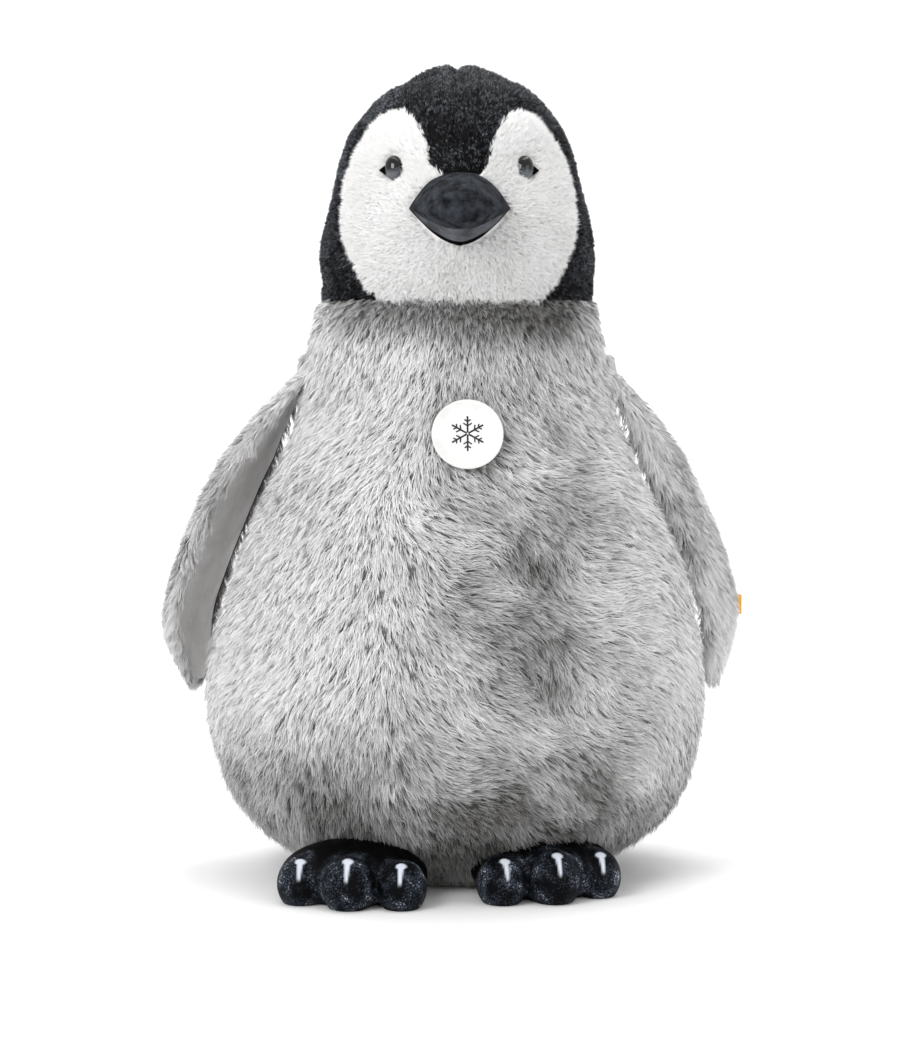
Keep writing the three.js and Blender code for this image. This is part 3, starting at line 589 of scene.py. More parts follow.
def head_skin():
    """The head's backing, with its crown seam, eye sockets, cheeks and chin seam pressed in."""
    cols, rows = 300, 210
    angle = np.linspace(0, 2 * math.pi, cols, endpoint=False)
    shares = np.concatenate([np.linspace(-0.1, 0.93, rows), np.linspace(0.935, 1, 16)])
    a, s = np.meshgrid(angle, shares)
    radius = np.maximum(head_radius(s) - 2.5 * MM * smooth(0, 0.1, s), 0.5 * MM)
    under = np.sqrt(np.maximum((BOWL_RADIUS - 3 * MM) ** 2 - (s * HEAD_HEIGHT + NECK - PIVOT[2]) ** 2, 0))
    radius = np.where(s < 0.03, np.minimum(radius, under), radius)
    points = np.stack([radius * np.cos(a), radius * np.sin(a), NECK + s * HEAD_HEIGHT - 2 * MM * (s > 0.9)],
                      axis=-1).reshape(-1, 3)
    outward = unit((points - PIVOT) * [1, 1, 0.55])
    x, y, z = points.T
    up = (z - NECK) / HEAD_HEIGHT
    press = 5.5 * MM * np.exp(-(x / 5e-3) ** 2) * smooth(0.8, 0.97, up)
    press += 1.6 * MM * np.exp(-(x / 3e-3) ** 2) * smooth(0.55, 0.7, up) * smooth(0.95, 0.8, up)
    press += 2.2 * MM * np.exp(-(x / 3.5e-3) ** 2) * smooth(0.3, 0.15, up) * (y < 0)
    for side in (1, -1):
        place = eye_frame(side)[0]
        gone = np.linalg.norm(points - place, axis=1)
        press += 4.0 * MM * np.exp(-(gone / 13e-3) ** 2)
        brow = place + np.array([-side * 4e-3, 0, 19e-3])
        press -= 2.2 * MM * np.exp(-(np.linalg.norm(points - brow, axis=1) / 13e-3) ** 2)
        cheek = head_at(0.2, side * 0.6 * HEAD_HALF)
        press -= 3.0 * MM * np.exp(-(np.linalg.norm(points - cheek, axis=1) / 38e-3) ** 2)
    seam = face_inside(points)
    press += 1.4 * MM * np.exp(-(seam / 2.2e-3) ** 2) * (up > 0)
    lumps = noise(points, 0.06, 41) * 1.6 * MM + noise(points, 0.022, 42) * 0.6 * MM
    points = points + outward * (lumps * smooth(0.0, 0.1, up) - press * smooth(-0.02, 0.02, up))[:, None]
    faces = grid_faces(len(shares), cols)
    return points, faces, skin_normals(points, faces)


def head_flow(points, normals):
    """The nap leaves the beak and runs up and back over the crown, then down."""
    beak = head_at(BEAK_UP, 0)
    away = unit(points - beak)
    crown = smooth(-0.02, 0.06, points[:, 1])[:, None]
    hem = smooth(NECK + 0.03, NECK, points[:, 2])[:, None]
    flow = away * (1 - crown) + np.array([0, 0.3, -1.0]) * crown + np.array([0, 0, -2.0]) * hem
    flow = unit(flow - normals * np.sum(flow * normals, axis=1, keepdims=True))
    return turn_about(flow, normals, noise(points, 0.035, 51) * 0.6)


def eye_clear(points):
    """0 at the eyes, 1 away from them, so that no pile covers the domes."""
    keep = np.ones(len(points))
    for side in (1, -1):
        place, direction = eye_frame(side)
        gone = points - place
        near = (np.linalg.norm(gone, axis=1) < 28 * MM)
        level = unit(np.cross(direction, [0.0, 0.0, 1.0]))
        across = gone @ level / EYE_NARROW
        upward = gone @ np.cross(level, direction)
        off = np.hypot(across, upward)
        keep = np.where(near, np.minimum(keep, smooth(12.5 * MM, 15.5 * MM, off)), keep)
        corner = head_at(EYE_UP - 0.01, side * (EYE_OUT * HEAD_HALF + 9.5 * MM))
        keep = np.minimum(keep, smooth(2 * MM, 4.5 * MM, np.linalg.norm(points - corner, axis=1)))
    return keep


def beak_clear(points):
    root = head_at(BEAK_UP, 0)
    dx = (points[:, 0] - root[0]) / BEAK_HALF
    dz = points[:, 2] - root[2]
    lens = 1 - np.abs(dx) ** 2.2
    inside = (np.abs(dx) < 0.97) & (dz < (BEAK_TOP - MM) * lens) & (dz > -(BEAK_BOTTOM - 4 * MM) * lens)
    inside &= points[:, 1] < 0
    return np.where(inside, 0.0, 1.0)


def make_head(hood_fur, face_fur, hood_backing, face_backing):
    skin = head_skin()
    points, faces = skin[:2]
    inside = face_inside(points[faces].mean(axis=1))
    for name, chosen, material, slot, nodes in (
        ("hood_coat", inside <= SEAM_SHIFT, hood_backing, "hood_fur",
         ("hood_left", "hood_right", "head_stuffing")),
        ("face_coat", inside > SEAM_SHIFT, face_backing, "face_fur", ("face_left", "face_right")),
    ):
        used, renumbered = np.unique(faces[chosen], return_inverse=True)
        piece = mesh_object(name, points[used], renumbered.reshape(-1, 4))
        dress(piece, "head", material, slot, *nodes)
    hood = {
        "weight": lambda p: (face_inside(p) < SEAM_SHIFT + 0.4 * MM) * (p[:, 2] > NECK - 0.012) + 1e-6,
        "flow": head_flow,
        "length": lambda p, n: 6.2 * MM * (1 + 0.15 * noise(p, 0.03, 61)) * (0.3 + 0.7 * beak_clear(p)),
        # painted highlights: blades with low values take the bright set, whose pale tips stand for sparkle on
        # the black pile
        "shade": lambda p, n: 0.66 + 0.34 * noise(p, 0.03, 62) + 0.2 * noise(p, 0.01, 63),
        "lift": lambda p: 38, "tuft": 1.5 * MM, "gather": 0.6, "width": 0.62 * MM,
        "stray": 0.25, "lean": 0.24,
        "frizz": 0.16, "shade_spread": 0.3,
    }
    for piece in grow_fur("hood_pile", skin, 30000, 4, hood, 201):
        dress(piece, "head", hood_fur, "hood_fur")
    face = {
        "weight": lambda p: (face_inside(p) > SEAM_SHIFT + 0.8 * MM) * eye_clear(p) * beak_clear(p) + 1e-6,
        "flow": head_flow,
        "length": lambda p, n: 7.0 * MM * (1 + 0.2 * noise(p, 0.02, 71)) * (0.45 + 0.55 * eye_clear(p)),
        "shade": lambda p, n: 0.4 + 0.35 * noise(p, 0.03, 72) + 0.2 * noise(p, 0.01, 73),
        "lift": lambda p: 48, "tuft": 1.7 * MM, "gather": 0.65, "width": 0.62 * MM,
        "stray": 0.3, "lean": 0.16,
        "frizz": 0.18, "shade_spread": 0.12,
    }
    for piece in grow_fur("face_pile", skin, 24000, 4, face, 202):
        dress(piece, "head", face_fur, "face_fur")


# ------------------------------------------------------------------ turned pieces: eyes and badge
def turned(name, profile, place, direction, steps=64, narrow=1.0, lean=0.0):
    """A turned piece from (radius, along) pairs, pointing along a direction; narrow makes it oval."""
    direction = unit(np.asarray(direction, float))
    level = unit(np.cross(direction, [0.0, 0.0, 1.0]))
    upward = np.cross(level, direction)
    cos, sin = math.cos(lean), math.sin(lean)
    side = (level * cos + upward * sin) * narrow
    other = upward * cos - level * sin
    angle = np.linspace(0, 2 * math.pi, steps, endpoint=False)
    rings = [place + direction * h + r * (np.outer(np.cos(angle), side) + np.outer(np.sin(angle), other))
             for r, h in profile]
    points = np.concatenate(rings)
    faces = grid_faces(len(profile), steps)
    piece = mesh_object(name, points, faces)
    shape = bmesh.new()
    shape.from_mesh(piece.data)
    bmesh.ops.remove_doubles(shape, verts=shape.verts, dist=1e-6)
    bmesh.ops.recalc_face_normals(shape, faces=shape.faces)
    shape.to_mesh(piece.data)
    shape.free()
    piece.data.shade_smooth()
    return piece


def dome_profile(radius, height, seat, steps=14):
    bend = np.linspace(0, math.pi / 2, steps)
    dome = [(radius * math.cos(b), height * math.sin(b)) for b in bend]
    return [(0, -seat), (radius * 0.9, -seat), (radius * 0.985, -seat * 0.4), *dome[:-1], (1e-7, height)]


def make_eyes(gloss, felt):
    for side, name in ((1, "left"), (-1, "right")):
        place, direction = eye_frame(side)
        lean = side * math.radians(EYE_LEAN)
        eye = turned(f"eye_dome_{name}", dome_profile(EYE_RADIUS, EYE_DOME, 2 * MM), place, direction,
                     narrow=EYE_NARROW, lean=lean)
        # painted reflection: the lower half of each dome takes the lighter grey-blue edge colour
        heights = np.array([vertex.co.z - place[2] for vertex in eye.data.vertices])
        paint(eye.data, "edge", smooth(0.5 * MM, -5 * MM, heights))
        dress(eye, "head", gloss, "eye_plastic", f"eye_{name}", f"eye_washer_{name}")
        middle = head_at(EYE_UP, side * EYE_OUT * HEAD_HALF)
        corners = [(6.4, 2.4), (12.0, -2.0), (6.4, -6.4)]
        outline = []
        for k in range(3):
            a, b = np.array(corners[k]), np.array(corners[(k + 1) % 3])
            outline += [a + (b - a) * u for u in np.linspace(0.06, 0.94, 8)]
        layers = []
        for grow in (-1.0 * MM, 2.2 * MM, 2.6 * MM):
            pull = 1.0 if grow < 2.4 * MM else 0.9
            centre = np.mean(outline, axis=0)
            row = []
            for point in outline:
                dx, dz = (centre + (point - centre) * pull) * MM
                x, z = middle[0] + side * dx, middle[2] + dz
                half = float(head_radius((z - NECK) / HEAD_HEIGHT)) + grow
                row.append([x, -math.sqrt(half**2 - x**2), z])
            layers.append(row)
        count = len(outline)
        points = np.array(layers).reshape(-1, 3)
        faces = [list(face) for face in grid_faces(3, count)] + [list(range(2 * count, 3 * count))]
        corner = mesh_object(f"eye_felt_{name}", points, faces, smooth_faces=False)
        dress(corner, "head", felt, "eye_felt", f"eye_corner_{name}")


# ------------------------------------------------------------------ beak
def beak_ring(share, low, reach, grow, steps):
    fall = math.sqrt(max(1 - share**2, 0.0))
    root = head_at(BEAK_UP, 0)
    angle = np.linspace(0, 2 * math.pi, steps, endpoint=False)
    across = np.cos(angle)
    above = np.sin(angle) > 0
    rise = 1 - np.abs(across) ** np.where(above, 2.5, 1.9)
    lift = np.where(above, BEAK_TOP + grow, -(low + grow)) * rise * fall
    y = root[1] + 22 * MM - share * (reach + 22 * MM)
    z = root[2] + lift - BEAK_DROOP * share**2
    return np.stack([(BEAK_HALF + grow) * across * fall, np.full(steps, y), z], axis=1)


def beak_shell(name, low, reach, wrinkle, seed):
    steps, rows = 120, 60
    bend = np.linspace(0, math.pi / 2, rows)
    rings = [beak_ring(math.sin(b), low, reach, 0.0, steps) for b in bend]
    points = np.concatenate(rings)
    out = unit(points - head_at(BEAK_UP, 0) - np.array([0, 0.01, 0]))
    points = points + out * (wrinkle * noise(points * [1, 1, 1.6], 0.016, seed))[:, None]
    shell = mesh_object(name, points, grid_faces(rows, steps))
    # painted shade: darker towards the root, where the beak meets the head
    off = np.hypot(points[:, 0], points[:, 1]) - head_radius((points[:, 2] - NECK) / HEAD_HEIGHT)
    paint(shell.data, "edge", 0.85 * smooth(7 * MM, 2 * MM, off))
    return shell


def make_beak(suede, lip_cloth, dark_suede):
    upper = beak_shell("beak_upper_cover", BEAK_MIDDLE, BEAK_REACH, 0.6 * MM, 81)
    dress(upper, "head", suede, "beak_suede", "beak_upper", "beak_stuffing")
    lip = beak_shell("beak_lip_band", BEAK_LIP, BEAK_REACH - BEAK_LIP_BACK, 0.5 * MM, 82)
    dress(lip, "head", lip_cloth, "beak_suede", "beak_lip")
    lower = beak_shell("beak_lower_cover", BEAK_BOTTOM, BEAK_REACH - BEAK_LOWER_BACK, 0.4 * MM, 83)
    dress(lower, "head", dark_suede, "beak_suede", "beak_lower")


# ------------------------------------------------------------------ wings
def wing_point(side, share, angle, shrink):
    """A place on the wing's surface; below share 0 the rounded root."""
    root = np.minimum(share, 0) * WING_LENGTH
    share_in = np.maximum(share, 0)
    shoulder = abs(JOINTS["wing_left_lift"]["pos_m"][0])
    top = JOINTS["wing_left_lift"]["pos_m"][2]
    round_off = np.sqrt(np.maximum(1 - (root / ROOT_RADIUS) ** 2, 0.0))
    out = shoulder + through(WING_OUT, share_in) * MM
    back = through(WING_BACK, share_in) * MM
    thick = (through(WING_THICK, share_in) * MM - shrink) * round_off
    chord = (through(WING_CHORD, share_in) * MM - shrink) * (0.75 + 0.25 * round_off)
    twist = math.radians(WING_TWIST[side]) * np.minimum(share_in * TWIST_GAIN, 1)
    cos = np.cos(angle)
    v = thick * np.sign(cos) * np.abs(cos) ** 0.7
    u = chord * np.sin(angle)
    x = out + v * np.cos(twist) + u * np.sin(twist)
    y = back + u * np.cos(twist) - v * np.sin(twist)
    return np.stack([side * x, y, top - share * WING_LENGTH], axis=-1)


def wing_grid(side, start, end, cols, shrink):
    shares = np.concatenate([np.linspace(-ROOT_RADIUS / WING_LENGTH, 0, 10)[:-1], np.linspace(0, 0.93, 80),
                             1 - 0.07 * np.linspace(0.95, 0, 12) ** 2])
    angle = np.radians(np.linspace(start, end, cols))
    a, s = np.meshgrid(angle, shares)
    points = wing_point(side, s, a, shrink).reshape(-1, 3)
    faces = grid_faces(len(shares), cols, closed=False)
    normals = skin_normals(points, faces)
    middle = points.mean(axis=0)
    if np.mean(np.sum(normals * (points - middle), axis=1)) < 0:
        faces = faces[:, ::-1]
        normals = -normals
    return points, faces, normals


def wing_flow(side):
    def flow(points, normals):
        down = unit(np.array([side * 0.33, 0.18, -1.0])) + 0 * points
        down = unit(down - normals * np.sum(down * normals, axis=1, keepdims=True))
        return turn_about(down, normals, noise(points, 0.04, 91) * 0.55 + noise(points, 0.018, 92) * 0.3)
    return flow


def wing_root(points):
    """1 at the sewn root of a wing, 0 below it."""
    top = JOINTS["wing_left_lift"]["pos_m"][2]
    return smooth(top - 40 * MM, top - 6 * MM, points[:, 2])


def wing_length(points):
    return 15.5 * MM * (1 + 0.15 * noise(points, 0.03, 95)) * (1 - 0.4 * wing_root(points))


def wing_lift(points):
    """The pile lies flatter where the wing leaves its pocket."""
    return 25 - 14 * wing_root(points)


def make_wings(fur, backing, lining):
    for side, name in ((1, "left"), (-1, "right")):
        outer = wing_grid(side, -112, 112, 76, 2.0 * MM)
        inner = wing_grid(side, 104, 256, 60, 3.2 * MM)
        body = f"wing_{name}"
        coat = mesh_object(f"wing_{name}_coat", outer[0], outer[1])
        dress(coat, body, backing, "body_fur", f"wing_{name}_outer", f"wing_{name}_stuffing")
        cloth = mesh_object(f"wing_{name}_lining_cloth", inner[0], inner[1])
        dress(cloth, body, lining, "lining_cloth", f"wing_{name}_lining")
        style = {
            "weight": lambda p: np.ones(len(p)),
            "flow": wing_flow(side),
            "length": lambda p, n: wing_length(p),
            "shade": lambda p, n: 0.26 + 0.3 * noise(p, 0.035, 96) + 0.12 * noise(p, 0.012, 97),
            "lift": wing_lift, "tuft": 2.4 * MM, "gather": 0.75, "width": 0.78 * MM,
            "stray": 0.17, "lean": 0.16,
            "frizz": 0.1, "bow": 0.12, "shade_spread": 0.1,
        }
        for piece in grow_fur(f"wing_{name}_pile", outer, 9000, 5, style, 300 + side):
            dress(piece, body, fur, "body_fur")


# ------------------------------------------------------------------ feet
def foot_lumps(side):
    """Toe and instep ellipsoids as (centre, half sizes), turned and stepped as the CAD feet are."""
    turn = math.radians(side * FOOT_TURN[side])
    lumps = []
    for out, forward, half, length, high, up in [*TOES, INSTEP]:
        centre = np.array([side * out, -forward, up]) - np.array([side * INSTEP[0], -INSTEP[1], 0])
        turned_x = centre[0] * math.cos(turn) - centre[1] * math.sin(turn)
        turned_y = centre[0] * math.sin(turn) + centre[1] * math.cos(turn)
        place = np.array([turned_x + side * INSTEP[0] + FOOT_SIDE[side],
                          turned_y - INSTEP[1] - FOOT_STEP[side], up])
        lumps.append((place * MM, np.array([half, length, high]) * MM, turn))
    return lumps


def make_feet(velvet):
    for side, name in ((1, "left"), (-1, "right")):
        lumps = foot_lumps(side)
        shape = bmesh.new()
        for centre, sizes, turn in lumps:
            made = bmesh.ops.create_icosphere(shape, subdivisions=4, radius=1.0)
            for vertex in made["verts"]:
                x, y, z = np.array(vertex.co) * (sizes - 0.8 * MM)
                vertex.co = Vector((x * math.cos(turn) - y * math.sin(turn) + centre[0],
                                    x * math.sin(turn) + y * math.cos(turn) + centre[1], z + centre[2]))
        mesh = bpy.data.meshes.new(f"foot_{name}_velvet")
        shape.to_mesh(mesh)
        shape.free()
        foot = bpy.data.objects.new(f"foot_{name}_velvet", mesh)
        bpy.context.collection.objects.link(foot)
        bpy.context.view_layer.objects.active = foot
        remesh = foot.modifiers.new("join", "REMESH")
        remesh.mode = "VOXEL"
        remesh.voxel_size = 1.5 * MM
        soften = foot.modifiers.new("soften", "SMOOTH")
        soften.factor = 0.5
        soften.iterations = 4
        with bpy.context.temp_override(object=foot, active_object=foot):
            bpy.ops.object.modifier_apply(modifier="join")
            bpy.ops.object.modifier_apply(modifier="soften")
        mesh = foot.data
        points = np.empty(len(mesh.vertices) * 3)
        mesh.vertices.foreach_get("co", points)
        points = points.reshape(-1, 3)
        points[:, 2] = np.maximum(points[:, 2], 0.3 * MM)
        mesh.vertices.foreach_set("co", points.ravel())
        # painted highlight: a pale T-shaped mark on the top front of each toe
        painted_toe_highlight = np.zeros(len(points))
        # where the toes take painted highlight flecks
        toe_glint_mask = np.zeros(len(points))
        for centre, sizes, turn in lumps[:3]:
            gone = points - centre
            x = gone[:, 0] * math.cos(turn) + gone[:, 1] * math.sin(turn) - 0.6 * MM
            y = -gone[:, 0] * math.sin(turn) + gone[:, 1] * math.cos(turn)
            rise = np.degrees(np.arctan2(gone[:, 2], -y))
            down = (66 - rise) / 52
            knob = np.sqrt(np.maximum(1 - ((down - 0.16) / 0.18) ** 2, 0)) * 4.1 * MM
            tail = np.where(down > 0.16, (2.7 - 1.9 * down) * MM, 0)
            mark = smooth(1.0 * MM, -0.7 * MM, np.abs(x) - np.maximum(knob, tail))
            mark = mark * smooth(-0.06, 0.02, down) * smooth(1.06, 0.88, down) * (y < 0)
            painted_toe_highlight = np.maximum(painted_toe_highlight, mark)
            reach = np.linalg.norm(np.stack([x, y, gone[:, 2]], axis=1) / sizes, axis=1)
            toe_glint_mask = np.maximum(toe_glint_mask, smooth(1.25, 1.02, reach) * smooth(0.6, -0.1, y / sizes[1]))
        paint(mesh, "painted_toe_highlight", painted_toe_highlight)
        paint(mesh, "toe_glint_mask", toe_glint_mask)
        mesh.update()
        mesh.shade_smooth()
        dress(foot, "body", velvet, "foot_velvet", f"foot_{name}_upper", f"foot_{name}_stuffing",
              f"foot_{name}_sole")


def velvet_material():
    """Black velvet; the toes carry light flecks and a pale T-shaped mark near the top front of each, both
    painted highlights of their gloss.
    """
    material, nodes, links = new_material("velvet")
    shader = nodes["Principled BSDF"]
    place = nodes.new("ShaderNodeTexCoord").outputs["Object"]
    fleck = noise_of(nodes, links, place, 700, 2)
    both = nodes.new("ShaderNodeMath")
    both.operation = "MULTIPLY"
    links.new(fleck, both.inputs[0])
    links.new(noise_of(nodes, links, place, 75, 5), both.inputs[1])
    # painted highlights: light flecks over the toes stand for their gloss
    stops = ((0.22, (11, 12, 15)), (0.36, (60, 66, 76)), (0.48, (190, 194, 200)))
    painted_toe_glints = ramp_of(nodes, links, both.outputs[0], stops)
    nap = mix_of(nodes, links, painted(nodes, "toe_glint_mask"), (3, 3, 4), painted_toe_glints)
    # the T mark's pale colour is a painted highlight
    links.new(mix_of(nodes, links, painted(nodes, "painted_toe_highlight"), nap, (206, 212, 222)), shader.inputs["Base Color"])
    raised(nodes, links, fleck, 0.35, 0.0005)
    shader.inputs["Roughness"].default_value = 0.6
    shader.inputs["Specular IOR Level"].default_value = 0.07
    return material


# ------------------------------------------------------------------ badge and label
BADGE_PLACE = np.array(JOINTS["badge_turn"]["pos_m"])
BADGE_AXIS = unit(np.array(JOINTS["badge_turn"]["axis"], float))


def make_badge(enamel, print_ink):
    radius = 29.5 * MM
    lift = 1.0 * MM
    rim = [(0, 0.0), (radius - 2 * MM, 0), (radius - 0.5 * MM, 0.5 * MM), (radius, 1.6 * MM),
           (radius - 0.35 * MM, 2.9 * MM), (radius - 1.4 * MM, 3.3 * MM), (radius - 2.2 * MM, 2.9 * MM),
           (radius - 2.7 * MM, 2.4 * MM), (radius * 0.6, 3.0 * MM), (radius * 0.3, 3.3 * MM),
           (1e-7, 3.4 * MM)]
    badge = turned("badge_button", [(r, h + lift) for r, h in rim], BADGE_PLACE, BADGE_AXIS, 96)
    dress(badge, "badge", enamel, "badge_plastic", "badge_shell", "badge_disc", "badge_washer")
    side = unit(np.cross(BADGE_AXIS, [0.0, 0.0, 1.0]))
    other = np.cross(side, BADGE_AXIS)
    points, faces = [], []

    def bar(start, end, width):
        start, end = np.array(start), np.array(end)
        run = unit(end - start)
        across = np.array([-run[1], run[0]]) * width / 2
        corners = [start - across, start + across, end + across, end - across]
        first = len(points)
        for u, v in corners:
            dome = (3.5 - 0.9 * (math.hypot(u, v) / 29.5) ** 2) * MM + lift
            points.append(BADGE_PLACE + BADGE_AXIS * dome + side * u * MM + other * v * MM)
        faces.append([first, first + 1, first + 2, first + 3])

    for arm in range(6):
        angle = math.radians(60 * arm + 30)
        out = np.array([math.cos(angle), math.sin(angle)])
        for step in range(5):
            bar(out * (0.8 + step * 2.8), out * (0.8 + (step + 1) * 2.8), 1.5)
        for reach, size in ((6.5, 4.2), (10.2, 3.2)):
            for way in (1, -1):
                twig = angle + way * math.radians(55)
                bar(out * reach, out * reach + np.array([math.cos(twig), math.sin(twig)]) * size, 1.2)
    motif = mesh_object("badge_snowflake", np.array(points), faces, smooth_faces=False)
    dress(motif, "badge", print_ink, "badge_plastic")


def make_label(ribbon):
    low, high = (np.array(corner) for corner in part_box("wing_label"))
    start = np.array(JOINTS["label_flap"]["pos_m"])
    reach = np.hypot(high[0] - start[0], high[1] - start[1])
    heading = unit(np.array([high[0] - start[0], high[1] - start[1], 0]))
    across = np.array([-heading[1], heading[0], 0])
    half = (high[2] - low[2]) / 2
    gap = 0.75 * MM
    path = [(0.0, -gap * 0.6)] + [(reach * u, -gap * (0.6 + 0.4 * u)) for u in np.linspace(0.1, 0.95, 12)]
    bend = np.linspace(-math.pi / 2, math.pi / 2, 9)
    path += [(reach * 0.95 + gap * math.cos(b), gap * math.sin(b)) for b in bend]
    path += [(reach * u, gap * (0.6 + 0.4 * u)) for u in np.linspace(0.95, 0.0, 12)]
    rows = np.linspace(-half, half, 12)
    points = [start - heading * 2 * MM + heading * a + across * (b + 0.7 * MM * math.sin(a / reach * 2.4))
              + np.array([0, 0, z - 0.25 * a]) for z in rows for a, b in path]
    label = mesh_object("wing_label_ribbon", np.array(points), grid_faces(len(rows), len(path), closed=False))
    thick = label.modifiers.new("thickness", "SOLIDIFY")
    thick.thickness = 0.35 * MM
    dress(label, "label", ribbon, "label_weave", "wing_label")


def ribbon_material():
    """Woven yellow ribbon with a fine cross rib."""
    material, nodes, links = new_material("woven_ribbon")
    shader = nodes["Principled BSDF"]
    wave = nodes.new("ShaderNodeTexWave")
    wave.bands_direction = "Z"
    wave.inputs["Scale"].default_value = 420
    wave.inputs["Distortion"].default_value = 1.2
    links.new(nodes.new("ShaderNodeTexCoord").outputs["Object"], wave.inputs["Vector"])
    rib = wave.outputs["Fac"]
    colour = ramp_of(nodes, links, rib, ((0, (226, 150, 30)), (1, (250, 190, 70))))
    links.new(colour, shader.inputs["Base Color"])
    raised(nodes, links, rib, 0.4, 0.0003)
    shader.inputs["Roughness"].default_value = 0.7
    return material


def gloss_material(name, colour, deep, roughness, coat, edge=None):
    """Polished plastic with a slight cloud of colour in it; an edge colour, where given, is a painted
    reflection, as on the eyes' lower half.
    """
    material = cloth_material(name, deep, colour, 90, 0.02, roughness=roughness, sheen=0.0, edge=edge)
    shader = material.node_tree.nodes["Principled BSDF"]
    shader.inputs["Coat Weight"].default_value = coat
    shader.inputs["Coat Roughness"].default_value = 0.03
    shader.inputs["Specular IOR Level"].default_value = 0.5
    return material


# ------------------------------------------------------------------ stage, light and camera
def make_stage():
    """A pale floor that sweeps up behind."""
    rows = []
    for y in np.linspace(-4.0, 2.2, 12):
        rows.append((y, 0.0))
    for bend in np.linspace(0, math.pi / 2, 14)[1:]:
        rows.append((2.2 + 1.6 * math.sin(bend), 1.6 - 1.6 * math.cos(bend)))
    rows.append((3.8, 6.0))
    points = [(x, y, z) for y, z in rows for x in (-6.0, 6.0)]
    floor = mesh_object("floor", np.array(points), grid_faces(len(rows), 2, closed=False))
    material = cloth_material("paper", (244, 244, 244), (247, 247, 247), 3, 0.0, roughness=0.95, sheen=0)
    floor.data.materials.append(material)


def area_light(name, place, target, size, power, colour=(1, 1, 1)):
    light = bpy.data.lights.new(name, "AREA")
    light.shape = "RECTANGLE"
    light.size, light.size_y = size
    light.energy = power
    light.color = colour
    lamp = bpy.data.objects.new(name, light)
    lamp.location = place
    lamp.rotation_euler = (Vector(target) - Vector(place)).to_track_quat("-Z", "Y").to_euler()
    bpy.context.collection.objects.link(lamp)


def make_light():
    world = bpy.data.worlds.new("studio")
    bpy.context.scene.world = world
    world.use_nodes = True
    world.node_tree.nodes["Background"].inputs["Color"].default_value = (1, 1, 1, 1)
    world.node_tree.nodes["Background"].inputs["Strength"].default_value = 0.72
    area_light("key", (-1.5, -1.9, 1.9), (0, 0, 0.35), (1.3, 1.3), 37)
    area_light("fill", (1.9, -1.6, 1.1), (0, 0, 0.35), (1.6, 1.6), 10)
    area_light("glint", (0.15, -2.4, 1.35), (0, 0, 0.55), (0.16, 0.16), 2.5)
    area_light("top", (0.2, 0.4, 2.6), (0, 0, 0.3), (1.8, 1.8), 24)
    area_light("backdrop", (0, 1.3, 3.2), (0, 3.7, 0.9), (3.5, 0.8), 90)
    bpy.context.scene.view_settings.view_transform = "Standard"


def make_camera():
    camera = bpy.data.cameras.new("camera")
    camera.lens = 98.3
    camera.sensor_width = 36
    holder = bpy.data.objects.new("camera", camera)
    place, target = Vector((-0.057, -2.5, 0.46)), Vector((0.0035, 0.0, 0.3007))
    holder.location = place
    holder.rotation_euler = (target - place).to_track_quat("-Z", "Y").to_euler()
    bpy.context.collection.objects.link(holder)
    bpy.context.scene.camera = holder


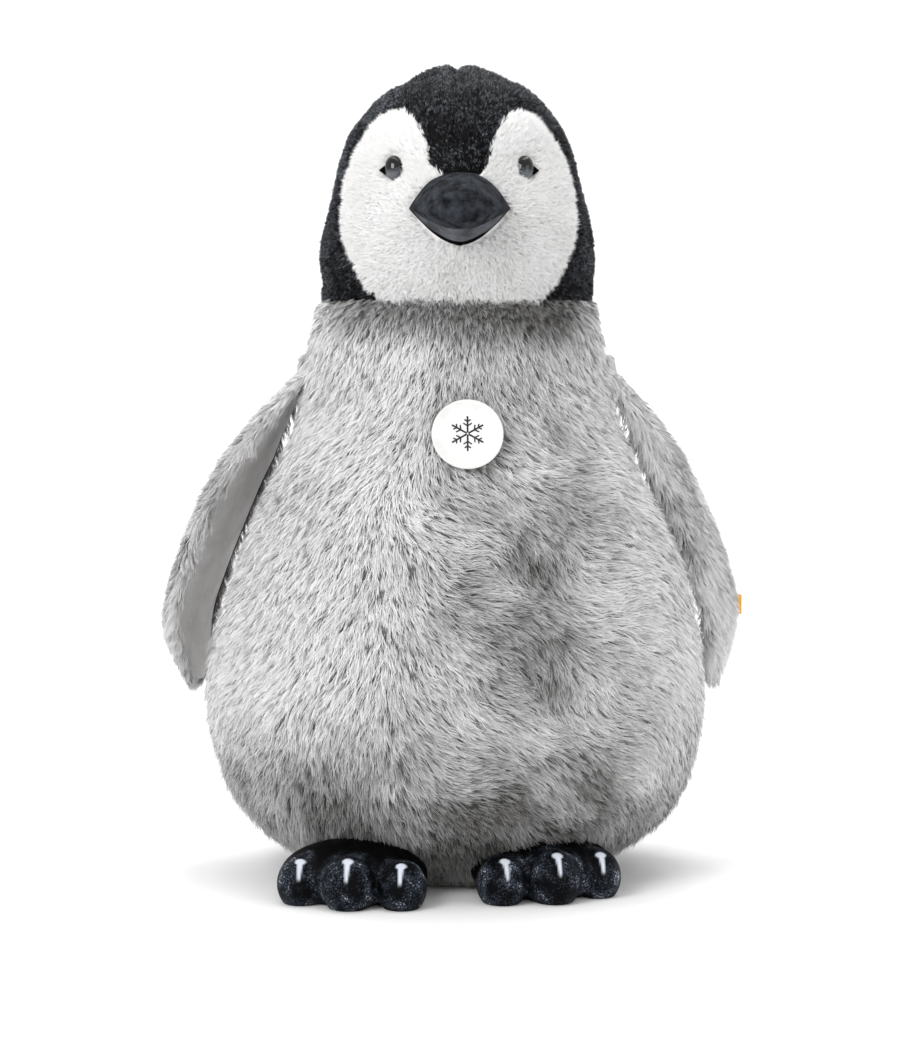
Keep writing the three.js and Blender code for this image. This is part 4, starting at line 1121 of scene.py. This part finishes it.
# ------------------------------------------------------------------ everything
def main():
    grey_fur = fur_material(
        "grey_pile",
        [(0.0, (214, 213, 212)), (0.35, (238, 238, 238)), (0.75, (250, 250, 251)), (1.0, (254, 254, 255))],
        [(0.0, (34, 32, 30)), (0.4, (68, 66, 63)), (0.8, (142, 141, 140)), (1.0, (206, 206, 206))],
    )
    # the bright set's pale tips are painted highlights: sparkle of light on the black pile
    black_fur = fur_material(
        "black_pile",
        [(0.0, (5, 5, 6)), (0.55, (16, 17, 20)), (1.0, (168, 174, 186))],
        [(0.0, (2, 2, 3)), (0.7, (6, 6, 8)), (1.0, (14, 15, 18))],
        roughness=0.5, sheen=0.0, specular=0.12,
    )
    white_fur = fur_material(
        "white_pile",
        [(0.0, (250, 249, 248)), (1.0, (255, 255, 255))],
        [(0.0, (234, 233, 231)), (1.0, (253, 253, 252))],
        sheen=0.1,
    )
    grey_backing = cloth_material("grey_backing", (104, 103, 102), (128, 127, 126), 60, 0.4)
    black_backing = cloth_material("black_backing", (5, 5, 6), (12, 12, 13), 60, 0.4, sheen=0.02)
    white_backing = cloth_material("white_backing", (240, 239, 237), (250, 249, 248), 60, 0.4)
    base_cloth = cloth_material("base_cloth", (120, 116, 110), (146, 142, 136), 150, 0.6)
    lining = cloth_material("wing_lining", (184, 181, 179), (206, 203, 201), 45, 0.5, sheen=0.4)
    # the suede's and lip's edge colours are painted shade at the beak's root
    suede = cloth_material("beak_suede", (16, 17, 19), (61, 64, 70), 110, 1.0, sheen=0.0, detail=12,
                           edge=(4, 4, 5), specular=0.08)
    lip = cloth_material("beak_lip", (58, 59, 63), (97, 99, 104), 60, 0.5, sheen=0.0, edge=(6, 6, 7),
                         specular=0.15)
    dark = cloth_material("beak_under", (4, 4, 5), (10, 10, 12), 50, 0.7, sheen=0.0, specular=0.06)
    felt = cloth_material("black_felt", (4, 4, 4), (10, 10, 10), 120, 0.8, sheen=0.0, specular=0.06)
    # the edge colour is a painted reflection on the eyes' lower half
    gloss = gloss_material("eye_gloss", (6, 7, 8), (2, 2, 3), 0.05, 0.1, edge=(84, 87, 93))
    enamel = gloss_material("white_enamel", (226, 226, 224), (218, 218, 216), 0.25, 0.4)
    ink = cloth_material("print_ink", (36, 36, 38), (52, 52, 55), 200, 0.1, roughness=0.4, sheen=0)
    make_stage()
    make_light()
    make_camera()
    make_body(grey_fur, grey_backing, base_cloth)
    make_head(black_fur, white_fur, black_backing, white_backing)
    make_eyes(gloss, felt)
    make_beak(suede, lip, dark)
    make_wings(grey_fur, grey_backing, lining)
    make_feet(velvet_material())
    make_badge(enamel, ink)
    make_label(ribbon_material())
    neck = frame["nodes"]["neck_roll"]
    neck.data.materials.clear()
    neck.data.materials.append(white_backing)


main()
